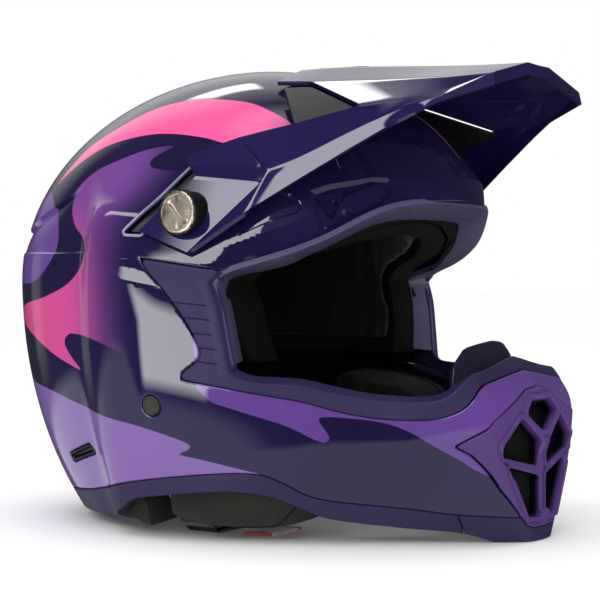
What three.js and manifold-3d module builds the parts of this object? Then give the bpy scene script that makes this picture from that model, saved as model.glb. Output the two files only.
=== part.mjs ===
// Motocross helmet: composite shell with a long chin bar, a tilting peak (visor), moulded vents and trims,
// a two-part foam liner, comfort pads and a double D-ring strap.
// Millimetres, +Z up, the wearer looks along -Y.
import * as THREE from "three";
import { mergeVertices } from "three/addons/utils/BufferGeometryUtils.js";
import Module from "manifold-3d";

const wasm = await Module();
wasm.setup();

// ---------------------------------------------------------------- driving dimensions
const GAP = 0.3; // clearance between touching pieces
const REACH = 200; // half width of a cut that goes right through
const RAY_COLUMNS = 36; // grid of rays that the curved surfaces are found on
const RAY_ROWS = 22;
const RAY_SPAN = [10, 320];
const RAY_HALVINGS = 30;
const SHELL_WALL = 4;
const CRANIUM = { y: -12, z: 138, half: 125, front: 146, back: 158, up: 125, down: 200 };
const BLEND = 22; // how softly the chin bar runs into the cranium
const EYE = new THREE.Vector3(0, -20, 115); // rays from here meet each body surface once
const LENGTH_SHIFT = 22; // moves the model so that its box is centred on the origin
const PIVOT = { y: -38.8, z: 175.5 }; // axis of the peak's side screws, along X
const PAD_NORMAL = new THREE.Vector3(-0.904, -0.233, 0.359).normalize(); // flat under each peak arm
const PAD_POINT = new THREE.Vector3(-116, PIVOT.y, PIVOT.z);
const PAD_EDGE = 2;
const SHEET = 2.4; // wall of the peak
const ARM_RISE = 4; // peak arm's outer face above the shell's flat
const BALL = { y: -10, z: 135, radius: 111, clearance: 2.2 }; // slip surface between the two foams
const HEAD = { y: -8, z: 134, side: 84, length: 102, height: 108 };
const NECK = { y: -18, side: 62, length: 92 };
const PAD_LAYER = 8; // comfort liner

const SHELL_COLOUR = { color: 0x241a52, roughness: 0.12, metalness: 0 };
const TRIM_COLOUR = { color: 0x3b2f6b, roughness: 0.55, metalness: 0 };
const VENT_COLOUR = { color: 0x5b3f8f, roughness: 0.4, metalness: 0 };
const BLACK_PLASTIC = { color: 0x0c0c0e, roughness: 0.5, metalness: 0 };
const FOAM = { color: 0x1b1b1d, roughness: 0.9, metalness: 0 };
const FABRIC = { color: 0x26262a, roughness: 0.95, metalness: 0 };
const STEEL = { color: 0xb9b4a6, roughness: 0.3, metalness: 1 };
const RED_WEBBING = { color: 0xc01020, roughness: 0.8, metalness: 0 };

// ---------------------------------------------------------------- small solid helpers
function solid(geometry) {
  const bare = geometry.index ? geometry.toNonIndexed() : geometry.clone();
  for (const name of Object.keys(bare.attributes)) if (name !== "position") bare.deleteAttribute(name);
  const merged = mergeVertices(bare, 1e-4);
  return new wasm.Manifold(new wasm.Mesh({
    numProp: 3,
    vertProperties: new Float32Array(merged.attributes.position.array),
    triVerts: new Uint32Array(merged.index.array),
  }));
}

function meshOf(name, body, look) {
  const data = body.getMesh();
  const geometry = new THREE.BufferGeometry();
  geometry.setAttribute("position", new THREE.BufferAttribute(data.vertProperties, 3));
  geometry.setIndex(new THREE.BufferAttribute(data.triVerts, 1));
  const flat = geometry.toNonIndexed();
  flat.computeVertexNormals();
  const mesh = new THREE.Mesh(flat, new THREE.MeshStandardMaterial(look));
  mesh.name = name;
  return mesh;
}

function placed(geometry, x, y, z) {
  return solid(geometry.translate(x, y, z));
}

function box(x0, x1, y0, y1, z0, z1) {
  const block = new THREE.BoxGeometry(x1 - x0, y1 - y0, z1 - z0);
  return placed(block, (x0 + x1) / 2, (y0 + y1) / 2, (z0 + z1) / 2);
}

// A round bar along X, between two x positions.
function barX(radius, x0, x1, y, z, sides = 32) {
  const bar = new THREE.CylinderGeometry(radius, radius, Math.abs(x1 - x0), sides);
  return placed(bar.rotateZ(Math.PI / 2), (x0 + x1) / 2, y, z);
}

function ellipsoid(halfX, halfY, halfZ, y, z, columns = 24, rows = 16) {
  const ball = new THREE.SphereGeometry(1, columns, rows).rotateX(Math.PI / 2);
  return placed(ball.scale(halfX, halfY, halfZ), 0, y, z);
}

// An outline pushed outwards by a distance; the points run either way round.
function grow(points, distance) {
  const turn = Math.sign(THREE.ShapeUtils.area(points.map(([u, v]) => new THREE.Vector2(u, v))));
  const count = points.length;
  return points.map((point, i) => {
    const before = points[(i + count - 1) % count];
    const after = points[(i + 1) % count];
    const a = new THREE.Vector2(point[0] - before[0], point[1] - before[1]).normalize();
    const b = new THREE.Vector2(after[0] - point[0], after[1] - point[1]).normalize();
    const normal = new THREE.Vector2(a.y + b.y, -a.x - b.x).normalize().multiplyScalar(turn);
    const stretch = Math.max(0.5, Math.abs(normal.x * a.y - normal.y * a.x));
    return [point[0] + (normal.x * distance) / stretch, point[1] + (normal.y * distance) / stretch];
  });
}

function prism(points, depth) {
  const shape = new THREE.Shape(points.map(([u, v]) => new THREE.Vector2(u, v)));
  return new THREE.ExtrudeGeometry(shape, { depth, bevelEnabled: false, steps: 1 });
}

// Side-view outline (y, z) carried along X from x0 to x1.
function sidePrism(points, x0 = -REACH, x1 = REACH) {
  const turn = new THREE.Matrix4().set(0, 0, 1, x0, 1, 0, 0, 0, 0, 1, 0, 0, 0, 0, 0, 1);
  return solid(prism(points, x1 - x0).applyMatrix4(turn));
}

// Front-view outline (x, z) carried along Y from y0 back to y1.
function frontPrism(points, y0, y1) {
  const turn = new THREE.Matrix4().set(1, 0, 0, 0, 0, 0, -1, y1, 0, 1, 0, 0, 0, 0, 0, 1);
  return solid(prism(points, y1 - y0).applyMatrix4(turn));
}

function mirrored(body) {
  return body.mirror([1, 0, 0]);
}

function both(body) {
  return body.add(mirrored(body));
}

function mirrorOutline(points) {
  return [...points, ...points.filter(([u]) => u !== 0).map(([u, v]) => [-u, v]).reverse()];
}

// ---------------------------------------------------------------- the helmet's form as a distance field
const smoothMin = (a, b, k) => {
  const h = Math.min(1, Math.max(0, 0.5 + (0.5 * (b - a)) / k));
  return b * (1 - h) + a * h - k * h * (1 - h);
};
const smoothMax = (a, b, k) => -smoothMin(-a, -b, k);

function craniumField(x, y, z) {
  const dy = y - CRANIUM.y;
  const dz = z - CRANIUM.z;
  const g = Math.hypot(
    x / CRANIUM.half,
    dy / (dy < 0 ? CRANIUM.front : CRANIUM.back),
    dz / (dz > 0 ? CRANIUM.up : CRANIUM.down),
  );
  return Math.hypot(x, dy, dz) * (1 - 1 / Math.max(g, 1e-6));
}

// The faceted chin bar: each face is a plane, in order of how sharply it meets the ones before.
const JAW_FACES = [
  { normal: [0.905, -0.427, 0.02], point: [56, -180, 52], edge: 0 },
  { normal: [1, -0.05, -0.14], point: [119, -30, 70], edge: 14 },
  { normal: [0.716, -0.475, -0.51], point: [57, -178, 50], edge: 16 },
  { normal: [0.1, -0.99, 0], point: [0, -190, 50], edge: 5 },
  { normal: [0.1, -0.66, 0.75], point: [0, -188, 82], edge: 10 },
  { normal: [0, -0.35, 0.93], point: [0, -150, 118], edge: 14 },
  { normal: [0, 1, 0], point: [0, 20, 0], edge: 20 },
].map((face) => ({ ...face, normal: new THREE.Vector3(...face.normal).normalize() }));

function jawField(x, y, z) {
  let value = -Infinity;
  for (const { normal, point, edge } of JAW_FACES) {
    const height = normal.x * (x - point[0]) + normal.y * (y - point[1]) + normal.z * (z - point[2]);
    value = edge ? smoothMax(value, height, edge) : height;
  }
  return value;
}

function helmetField(x, y, z) {
  const side = Math.abs(x);
  const form = smoothMin(craniumField(x, y, z), jawField(side, y, z), BLEND);
  const across = -PAD_NORMAL.x * (side + PAD_POINT.x);
  const flat = across + PAD_NORMAL.y * (y - PAD_POINT.y) + PAD_NORMAL.z * (z - PAD_POINT.z);
  return smoothMax(form, flat, PAD_EDGE);
}

// Closed surface at a given offset from the form, found along rays from EYE.
const surfaces = new Map();
function formAt(offset) {
  if (surfaces.has(offset)) return surfaces.get(offset);
  const ball = new THREE.SphereGeometry(1, RAY_COLUMNS, RAY_ROWS).rotateX(Math.PI / 2);
  const at = ball.attributes.position;
  const ray = new THREE.Vector3();
  for (let i = 0; i < at.count; i++) {
    ray.fromBufferAttribute(at, i).normalize();
    let [near, far] = RAY_SPAN;
    for (let step = 0; step < RAY_HALVINGS; step++) {
      const mid = (near + far) / 2;
      const inside = helmetField(EYE.x + ray.x * mid, EYE.y + ray.y * mid, EYE.z + ray.z * mid) < offset;
      if (inside) near = mid;
      else far = mid;
    }
    at.setXYZ(i, EYE.x + ray.x * near, EYE.y + ray.y * near, EYE.z + ray.z * near);
  }
  const made = solid(ball);
  surfaces.set(offset, made);
  return made;
}

function layer(outer, inner) {
  return formAt(outer).subtract(formAt(inner));
}

// ---------------------------------------------------------------- outlines, side view (y, z)
const BROW_EDGE = [[-230, 212], [-150, 187], [-130, 181], [-107, 163], [-83, 152.5], [-61, 145], [-55, 139]];
const CHEEK_EDGE = [[-59, 127], [-61.5, 111], [-64, 95], [-66, 90.5], [-76, 87]];
const CHIN_EDGE = [
  [-97, 85.7], [-114, 81.5], [-131, 78], [-152, 77.2], [-164, 80.5], [-170.5, 90], [-170.5, 99],
];
const EYEPORT = [...BROW_EDGE, ...CHEEK_EDGE, ...CHIN_EDGE, [-230, 130]];

const TRIM_INNER = [[-61, 145], [-55, 139], ...CHEEK_EDGE, ...CHIN_EDGE];
const TRIM_OUTER = [
  [-180, 103], [-177, 92], [-176, 80.5], [-170.5, 73], [-160, 68.4], [-148, 67.3], [-131, 68.1], [-114, 71.6],
  [-97, 76.8], [-73, 81.3], [-50, 85.5], [-38, 87.8], [-38.6, 91], [-46.3, 97], [-49.2, 101], [-47.9, 107],
  [-41, 120], [-29.7, 135], [-19.9, 146], [-16.5, 151.7],
];
const EYEPORT_TRIM = [...TRIM_INNER, ...TRIM_OUTER];

const BASE_EDGE = [
  [-200, 0], [-172, 0], [-158, 5.2], [-132, 8.5], [-103, 13.7], [-91, 20], [-78, 25.7], [-59, 28],
  [-30, 25.5], [0, 20.5], [10, 14], [30, 2], [40, 0], [170, 0],
];
const BASE_SEAM = [
  [170, 12], [61.5, 19.5], [1.5, 30.7], [-37.7, 36.2], [-61.3, 38.3], [-76.4, 37.6], [-86.7, 32.9],
  [-101.8, 24.8], [-140, 19.2], [-162, 15.6], [-200, 13.4],
];
const BASE_BAND = [...BASE_EDGE, ...BASE_SEAM];
const BELOW_BASE = [...BASE_EDGE, [170, -260], [-200, -260]];
const CHIN_SEAM_Y = -160;

// Front view (x, z), right half listed from the top centre line down.
const VENT_HALF = [
  [0, 84.5], [-8, 83.6], [-50, 69], [-61, 55.5], [-56, 50.5], [-40, 30], [-18, 9.5], [-12, 7.8], [0, 7.8],
];
const VENT_OUTLINE = mirrorOutline(VENT_HALF);
const TOP_OPENING = [[-12.4, 76], [-20, 69], [-4.3, 59.6], [4.3, 59.6], [20, 69], [12.4, 76]];
const SIDE_OPENING = [[-25, 66], [-42.5, 53], [-38, 47], [-9.8, 41], [-8, 53]];
const LOWER_OPENING = [[-8.5, 35], [-33, 41], [-19, 18], [-8.5, 17]];

// ---------------------------------------------------------------- shell and its fixed trims
const SIDE_SPAN = [-REACH, -60]; // x range of a cut through the right side only
const REAR_SPAN = [-REACH, -20];
const MUZZLE = { front: -230, back: -140 }; // y range of cuts through the mouth vent
const eyeportCut = sidePrism(EYEPORT);
const belowBase = sidePrism(BELOW_BASE);
const trimRegion = sidePrism(EYEPORT_TRIM);
const SLOT_VENT = [[-7.5, 166.4], [-12, 166.4], [-34.5, 193], [-33.5, 199.5]];
const REAR_PORT = [[66, 41], [40, 49], [34, 43.5], [63, 35.5]];
const ANCHOR = { y: -18.5, z: 73.2, radius: 5.5 };
const SCREW = { face: -129.3, seat: -125.9, head: 12, shank: 3, end: -106 };
const CROWN_SCREW = { y: -68, radius: 2.4, head: 6.4 };
const CROWN_REACH = 83.3; // from the pivot axis to the shell's top at the crown screw
const CROWN_TILT = Math.asin((PIVOT.y - CROWN_SCREW.y) / CROWN_REACH);

// A round bar along the crown screw's axis, from one radius about the pivot to another.
function crownBar(radius, from, to, sides = 16) {
  const bar = new THREE.CylinderGeometry(radius, radius, to - from, sides).rotateX(Math.PI / 2);
  bar.translate(0, 0, (from + to) / 2).rotateX(CROWN_TILT); // leans forward from the pivot
  return placed(bar, 0, PIVOT.y, PIVOT.z);
}

function outerShell() {
  let body = layer(0, -SHELL_WALL).subtract(eyeportCut);
  body = body.subtract(sidePrism(grow(BASE_BAND, GAP))).subtract(belowBase);
  body = body.subtract(sidePrism(grow(EYEPORT_TRIM, GAP)));
  body = body.subtract(frontPrism(grow(VENT_OUTLINE, GAP), MUZZLE.front, -120));
  const holes = [
    sidePrism(grow(SLOT_VENT, GAP), ...SIDE_SPAN),
    sidePrism(grow(REAR_PORT, GAP), ...REAR_SPAN),
    barX(ANCHOR.radius + GAP, ...SIDE_SPAN, ANCHOR.y, ANCHOR.z, 20),
    barX(SCREW.shank + GAP, ...SIDE_SPAN, PIVOT.y, PIVOT.z, 20),
  ];
  for (const hole of holes) body = body.subtract(both(hole));
  return body.subtract(crownBar(CROWN_SCREW.radius + GAP, 60, 120, 16));
}

function baseTrim(region) {
  return layer(0, -SHELL_WALL - 1).intersect(sidePrism(BASE_BAND)).intersect(region);
}

function mouthVent() {
  let body = layer(0.4, -6).intersect(frontPrism(VENT_OUTLINE, MUZZLE.front, MUZZLE.back));
  const cuts = [TOP_OPENING, SIDE_OPENING, LOWER_OPENING];
  for (const [i, outline] of cuts.entries()) {
    const hole = frontPrism(outline, MUZZLE.front, MUZZLE.back);
    body = body.subtract(i === 0 ? hole : both(hole));
  }
  const neighbours = sidePrism(grow(EYEPORT_TRIM, GAP)).add(sidePrism(grow(BASE_BAND, GAP)));
  return body.subtract(eyeportCut).subtract(neighbours);
}

function mouthFilter() {
  const middle = grow(VENT_OUTLINE, -6);
  const body = layer(-6.4, -9.4).intersect(frontPrism(middle, MUZZLE.front, MUZZLE.back));
  return body.subtract(box(-80, 80, -230, -100, 72, 140));
}

function eyeportTrim() {
  return layer(0.5, -SHELL_WALL - 1).intersect(trimRegion).subtract(eyeportCut);
}

function noseGuard() {
  const side = [[-170, 78], [-166, 78], [-158, 104], [-159.5, 110], [-163, 109], [-170, 92]];
  const front = mirrorOutline([[0, 110], [-22, 107], [-44, 92], [-47, 80], [0, 78]]);
  const body = sidePrism(side, -50, 50).intersect(frontPrism(front, -200, -140));
  return body.subtract(sidePrism(grow(EYEPORT_TRIM, GAP)));
}

function slotInsert() {
  return layer(-0.6, -SHELL_WALL - 3.6).intersect(sidePrism(SLOT_VENT, ...SIDE_SPAN));
}

function rearPort() {
  const frame = layer(0.5, -SHELL_WALL - 3).intersect(sidePrism(REAR_PORT, ...REAR_SPAN));
  return frame.subtract(layer(2, -2).intersect(sidePrism(grow(REAR_PORT, -2.2), ...REAR_SPAN)));
}

function anchorPlug() {
  const bar = barX(ANCHOR.radius, -160, -60, ANCHOR.y, ANCHOR.z, 20);
  return bar.intersect(layer(0.8, -SHELL_WALL - 0.6));
}

// ---------------------------------------------------------------- foams and pads
const ball = ellipsoid(BALL.radius, BALL.radius, BALL.radius, BALL.y, BALL.z);
const socket = ellipsoid(...Array(3).fill(BALL.radius + BALL.clearance), BALL.y, BALL.z);
const head = ellipsoid(HEAD.side, HEAD.length, HEAD.height, HEAD.y, HEAD.z);
const neckBar = new THREE.CylinderGeometry(1, 1, 160, 32).rotateX(Math.PI / 2);
const neck = placed(neckBar.scale(NECK.side, NECK.length, 1), 0, NECK.y, 30);
const faceOpening = sidePrism(grow(EYEPORT, 3));
const FOAM_SKIN = -SHELL_WALL - 2;
const FOAM_BASE = { side: 88, rear: 28, rearStart: 0 };

function outerFoam() {
  const upper = box(-200, 200, -200, 200, FOAM_BASE.side, 300);
  const rear = box(-200, 200, FOAM_BASE.rearStart, 200, FOAM_BASE.rear, FOAM_BASE.side + 1);
  let body = formAt(FOAM_SKIN).intersect(upper.add(rear));
  for (const hollow of [socket, neck, faceOpening]) body = body.subtract(hollow);
  body = body.subtract(box(-200, 200, -200, -48, 60, 130)).subtract(sidePrism(grow(BASE_BAND, 1)));
  const pockets = [
    barX(9, ...SIDE_SPAN, PIVOT.y, PIVOT.z, 20),
    sidePrism(grow(SLOT_VENT, 1.2), ...SIDE_SPAN),
    sidePrism(grow(REAR_PORT, 1.2), ...REAR_SPAN),
  ];
  for (const pocket of pockets) body = body.subtract(both(pocket));
  return body.subtract(crownBar(8, 60, 120, 16));
}

function innerFoam() {
  const upper = box(-200, 200, -200, 200, 96, 300);
  return ball.intersect(upper).subtract(head).subtract(faceOpening);
}

function comfortLiner() {
  const inset = (by) => ellipsoid(HEAD.side - by, HEAD.length - by, HEAD.height - by, HEAD.y, HEAD.z);
  const body = inset(0.4).subtract(inset(PAD_LAYER)).intersect(box(-200, 200, -200, 200, 104, 300));
  return body.subtract(sidePrism(grow(EYEPORT, 5)));
}

const STRAP = { y: ANCHOR.y, width: 20, thickness: 1.7 };
const CHEEK = { outer: -97, foamInner: -100, y0: -94, y1: -6, z0: 3.2, z1: 80 };

function cheekFoam() {
  const zone = box(-200, CHEEK.foamInner, -92, -2, 42, FOAM_BASE.side - 0.6);
  return formAt(FOAM_SKIN).intersect(zone).subtract(sidePrism(grow(EYEPORT_TRIM, 2)))
    .subtract(barX(9, -200, -60, ANCHOR.y, ANCHOR.z, 20));
}

function cheekPad() {
  const outline = [[CHEEK.y0 + 14, CHEEK.z0], [CHEEK.y0, CHEEK.z0 + 26], [CHEEK.y0 + 10, 74], [-70, CHEEK.z1],
    [-20, CHEEK.z1 + 5], [CHEEK.y1, 60], [CHEEK.y1 - 6, CHEEK.z0]];
  const strapNotch = box(CHEEK.outer - 1, CHEEK.outer + 7, STRAP.y - 12, STRAP.y + 12, 0, 8);
  const body = sidePrism(outline, CHEEK.outer, -30).intersect(formAt(-SHELL_WALL - 4));
  return body.subtract(neck).subtract(strapNotch);
}

function neckRoll() {
  const zone = box(-200, 200, 2, 200, 3, FOAM_BASE.rear - 0.6);
  return layer(-SHELL_WALL - 3.4, -SHELL_WALL - 22).intersect(zone);
}

function chinFoam() {
  const zone = [[-200, 23], [-110, 27], [-98, 33], [-98, 73], [-114, 66], [-150, 61], [-166, 62], [-200, 60]];
  const body = layer(FOAM_SKIN - GAP, -SHELL_WALL - 20).intersect(sidePrism(zone, -200, 0));
  return body.subtract(frontPrism(grow(VENT_OUTLINE, 1), -230, -120));
}

// ---------------------------------------------------------------- the peak
// Key points of its right half (x below zero), from the front lip to the pivot arms.
const P = {
  lipCentre: [0, -186, 256], lipFacet: [-13.7, -186, 256.3], lipEnd: [-56, -186, 246.8],
  lipCentreLow: [0, -187, 249.5], lipFacetLow: [-13.7, -187, 249.6], lipEndLow: [-57.5, -187, 240],
  ridge1: [0, -160, 257.6], ridge2: [0, -120, 260], ridge3: [0, -78, 262.4], ridge4: [0, -53, 261.6],
  roof1: [-28, -160, 254.6], roof2: [-29, -120, 257], roof3: [-30, -78, 259.4], roof4: [-30, -53, 258.8],
  crease1: [-57, -160, 246], crease2: [-56, -120, 247.8], crease3: [-55, -76, 249.8],
  crease4: [-54, -53, 250.4],
  top1: [-64, -165, 238.6], top2: [-73, -142.5, 233.2], top3: [-82, -123, 230], top4: [-91, -91, 223],
  top5: [-100, -59, 215.9], top6: [-109.5, -30.2, 206.4],
  mid1: [-69, -163.5, 235], mid2: [-78, -144, 229.4], mid3: [-90.5, -121, 217], mid4: [-102, -97.7, 203.3],
  mid5: [-110, -83, 197.5],
  low1: [-70, -162.5, 232], low2: [-82, -147.5, 224.1], low3: [-95.2, -122.4, 208.2],
  low4: [-105.5, -99.9, 193.1], low5: [-117.5, -72.7, 174.7],
};
// The arm's end plate lies parallel to the flat on the shell.
const PLATE = { top: [-36.4, 194.4], front: [-75.5, 191.6], bottom: [-43.5, 154.5], back: [-11, 165.5] };

function onPlate([y, z], rise) {
  const n = PAD_NORMAL;
  const x = PAD_POINT.x + (rise - n.y * (y - PAD_POINT.y) - n.z * (z - PAD_POINT.z)) / n.x;
  return [x, y, z];
}
for (const [name, at] of Object.entries(PLATE)) P[`plate_${name}`] = onPlate(at, ARM_RISE);

const PEAK_FACES = [
  "lipCentre ridge1 roof1 lipFacet", "lipFacet roof1 crease1 lipEnd", "ridge1 ridge2 roof2 roof1",
  "roof1 roof2 crease2 crease1", "ridge2 ridge3 roof3 roof2", "roof2 roof3 crease3 crease2",
  "ridge3 ridge4 roof4 roof3", "roof3 roof4 crease4 crease3",
  "lipEnd crease1 top1", "crease1 crease2 top2 top1", "crease2 crease3 top3 top2",
  "lipEnd top1 mid1", "top1 top2 mid2 mid1", "top2 top3 mid3 mid2", "top3 top4 mid4 mid3",
  "top4 top5 mid5 mid4",
  "lipEnd mid1 low1 lipEndLow", "mid1 mid2 low2 low1", "mid2 mid3 low3 low2", "mid3 mid4 low4 low3",
  "mid4 mid5 low5 low4",
  "mid5 top5 plate_front", "top5 top6 plate_top plate_front", "mid5 plate_front low5",
  "plate_front plate_bottom low5",
  "plate_front plate_top plate_back plate_bottom",
  "lipCentre lipFacet lipFacetLow lipCentreLow", "lipFacet lipEnd lipEndLow lipFacetLow",
].map((line) => line.split(" "));

// A sheet of the given faces with a wall grown inwards from its outer face.
function sheetSolid(points, faces, wall) {
  const names = Object.keys(points);
  const outer = names.map((name) => new THREE.Vector3(...points[name]));
  const triangles = [];
  for (const face of faces) {
    const corners = face.map((name) => names.indexOf(name));
    for (let i = 2; i < corners.length; i++) triangles.push([corners[0], corners[i - 1], corners[i]]);
  }
  const normals = names.map(() => new THREE.Vector3());
  const edges = new Map();
  for (const [a, b, c] of triangles) {
    const normal = new THREE.Vector3().crossVectors(
      outer[b].clone().sub(outer[a]), outer[c].clone().sub(outer[a])).normalize();
    for (const [from, to, last] of [[a, b, c], [b, c, a], [c, a, b]]) {
      const angle = outer[to].clone().sub(outer[from]).angleTo(outer[last].clone().sub(outer[from]));
      normals[from].addScaledVector(normal, angle);
      if (edges.has(`${to} ${from}`)) edges.delete(`${to} ${from}`);
      else edges.set(`${from} ${to}`, [from, to]);
    }
  }
  const inner = outer.map((point, i) => point.clone().addScaledVector(normals[i].normalize(), -wall));
  const count = outer.length;
  const index = [];
  for (const [a, b, c] of triangles) index.push(a, b, c, count + a, count + c, count + b);
  for (const [a, b] of edges.values()) index.push(b, a, count + a, b, count + a, count + b);
  const geometry = new THREE.BufferGeometry().setFromPoints([...outer, ...inner]);
  return solid(geometry.setIndex(index));
}

function peakPoints() {
  const points = { ...P };
  for (const [name, [x, y, z]] of Object.entries(P)) if (x !== 0) points[`${name}_left`] = [-x, y, z];
  return points;
}

function peakFaces() {
  const other = (name) => (P[name][0] === 0 ? name : `${name}_left`);
  const left = PEAK_FACES.map((face) => face.map(other).reverse());
  return [...PEAK_FACES, ...left];
}

const SLIDE_POCKET = { half: 8, wall: 2, floor: 85.3, back: -54.5, front: -85.7, slot: 10.6 };

// Trough in the peak's spine, curved about the pivot axis, that the crown screw clamps.
function slidePocket() {
  const { half, wall, floor, back, front } = SLIDE_POCKET;
  const inside = barX(floor, -50, 50, PIVOT.y, PIVOT.z, 72);
  const step = barX(floor + SHEET, -50, 50, PIVOT.y, PIVOT.z, 72);
  const sides = half + wall;
  const block = box(-sides, sides, front, back, 240, 260).subtract(inside);
  const trough = box(-half, half, front + wall, back + 30, 230, 300).subtract(step);
  const slotHalf = CROWN_SCREW.radius + 0.6;
  const { y } = CROWN_SCREW;
  const slot = box(-slotHalf, slotHalf, y - SLIDE_POCKET.slot, y + SLIDE_POCKET.slot, 200, 300);
  return { block, trough, slot };
}

function peak() {
  const { block, trough, slot } = slidePocket();
  const sheet = sheetSolid(peakPoints(), peakFaces(), SHEET);
  const pivotHole = both(barX(3 + GAP, -200, -60, PIVOT.y, PIVOT.z, 20));
  return sheet.add(block).subtract(trough).subtract(slot).subtract(pivotHole);
}

// ---------------------------------------------------------------- fasteners
function pivotWasher() {
  const spacer = barX(11.4, SCREW.seat + GAP, -100, PIVOT.y, PIVOT.z, 28);
  const outside = solid(new THREE.BoxGeometry(200, 200, 200).translate(-100, 0, 0)
    .applyQuaternion(new THREE.Quaternion().setFromUnitVectors(new THREE.Vector3(-1, 0, 0), PAD_NORMAL))
    .translate(...onPlate([PIVOT.y, PIVOT.z], ARM_RISE + GAP)));
  return spacer.intersect(outside).subtract(barX(SCREW.shank + GAP, -200, -60, PIVOT.y, PIVOT.z, 20));
}

function pivotScrew() {
  const [seat, face] = [SCREW.end - SCREW.seat, SCREW.end - SCREW.face];
  const profile = [
    [0, 0], [SCREW.shank, 0], [SCREW.shank, seat], [SCREW.head - 0.6, seat], [SCREW.head, seat + 0.6],
    [SCREW.head, face - 0.8], [SCREW.head - 0.8, face], [0, face],
  ];
  const lathe = new THREE.LatheGeometry(profile.map(([r, h]) => new THREE.Vector2(r, h)), 28);
  const turned = lathe.rotateZ(Math.PI / 2).translate(SCREW.end, PIVOT.y, PIVOT.z);
  const slot = box(SCREW.face - 1, SCREW.face + 1.1, PIVOT.y - 8.5, PIVOT.y + 8.5, PIVOT.z - 1, PIVOT.z + 1);
  return solid(turned).subtract(slot);
}

function pivotNut() {
  const flange = barX(7.5, SCREW.end - 1.6, SCREW.end + 1.8, PIVOT.y, PIVOT.z, 16);
  return flange.subtract(barX(SCREW.shank + GAP, -200, -60, PIVOT.y, PIVOT.z, 20));
}

function crownScrew() {
  const head = crownBar(CROWN_SCREW.head, SLIDE_POCKET.floor + SHEET + GAP, SLIDE_POCKET.floor + SHEET + 3);
  const shank = crownBar(CROWN_SCREW.radius, 76.4, SLIDE_POCKET.floor + SHEET + 1, 16);
  const socketHole = crownBar(2, SLIDE_POCKET.floor + SHEET + 1.4, 120, 6);
  return head.add(shank).subtract(socketHole);
}

function crownNut() {
  return crownBar(6.5, 75.6, 78.4).subtract(crownBar(CROWN_SCREW.radius + GAP, 60, 120, 16));
}

// ---------------------------------------------------------------- retention straps
// Webbing of a given width swept along hand-placed points (x, z) in a plane of constant y.
function strap(points, width, thickness, y) {
  return frontPrism(openOutline(points, thickness), y - width / 2, y + width / 2);
}

// Outline of a band of the given thickness that follows an open line.
function openOutline(points, thickness) {
  const curve = new THREE.CatmullRomCurve3(points.map(([x, z]) => new THREE.Vector3(x, 0, z)));
  const sides = { a: [], b: [] };
  const steps = points.length * 4;
  for (let i = 0; i <= steps; i++) {
    const at = curve.getPointAt(i / steps);
    const along = curve.getTangentAt(i / steps);
    sides.a.push([at.x - (along.z * thickness) / 2, at.z + (along.x * thickness) / 2]);
    sides.b.push([at.x + (along.z * thickness) / 2, at.z - (along.x * thickness) / 2]);
  }
  return [...sides.a, ...sides.b.reverse()];
}

const STRAP_LINE = [[-98.7, 70], [-98.7, 40], [-98.7, 9], [-97.4, 3.4], [-93, 1.3], [-72, 1.1], [-49.4, 1.1]];
const RING = { radius: 13, squeeze: 0.72, wire: 1.6, x: 35, lower: 3.3, upper: 7.2 };
const RELEASE_Y = -52;

function chinStrap() {
  return strap(STRAP_LINE, STRAP.width, STRAP.thickness, STRAP.y);
}

// Stitched end of the left strap, folded round both rings' bars.
function ringLoop() {
  const bar = RING.x + RING.radius * RING.squeeze;
  const [low, high] = [RING.lower - RING.wire - GAP, RING.upper + RING.wire + 2 * GAP];
  const hole = [[bar - 3.6, low], [bar + 2.2, low], [bar + 2.2, high], [bar - 3.6, high]];
  const span = [STRAP.y - 7, STRAP.y + 7];
  return frontPrism(grow(hole, 1.1), ...span).subtract(frontPrism(hole, -100, 100));
}

function dRing(lift) {
  const ring = new THREE.TorusGeometry(RING.radius, RING.wire, 6, 20).scale(RING.squeeze, 1, 1);
  return placed(ring, RING.x, STRAP.y, lift);
}

// Red webbing tab under a cheek pad, for pulling the pad out after a crash.
function releaseTab() {
  const line = [[-74, 1.6], [-66, 0.9], [-52, 0.7], [-40, 0.9]];
  return strap(line, 16, 1.2, RELEASE_Y);
}

// ---------------------------------------------------------------- assembly
const parts = [
  ["outer_shell", outerShell(), SHELL_COLOUR],
  ["mouth_vent", mouthVent(), VENT_COLOUR],
  ["mouth_filter", mouthFilter(), BLACK_PLASTIC],
  ["eyeport_trim", eyeportTrim(), TRIM_COLOUR],
  ["nose_guard", noseGuard(), BLACK_PLASTIC],
  ["chin_trim", baseTrim(box(-100, 100, -230, CHIN_SEAM_Y, -10, 40)), TRIM_COLOUR],
  ["base_trim_right", baseTrim(box(-200, -GAP / 2, CHIN_SEAM_Y + GAP, 200, -10, 60)), TRIM_COLOUR],
  ["base_trim_left", baseTrim(box(GAP / 2, 200, CHIN_SEAM_Y + GAP, 200, -10, 60)), TRIM_COLOUR],
  ["outer_foam", outerFoam(), FOAM],
  ["inner_foam", innerFoam(), FOAM],
  ["comfort_liner", comfortLiner(), FABRIC],
  ["neck_roll", neckRoll(), FABRIC],
  ["peak", peak(), SHELL_COLOUR],
  ["crown_screw", crownScrew(), STEEL],
  ["crown_nut", crownNut(), STEEL],
  ["ring_loop", ringLoop(), BLACK_PLASTIC],
  ["d_ring_lower", dRing(RING.lower), STEEL],
  ["d_ring_upper", dRing(RING.upper), STEEL],
];
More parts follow.
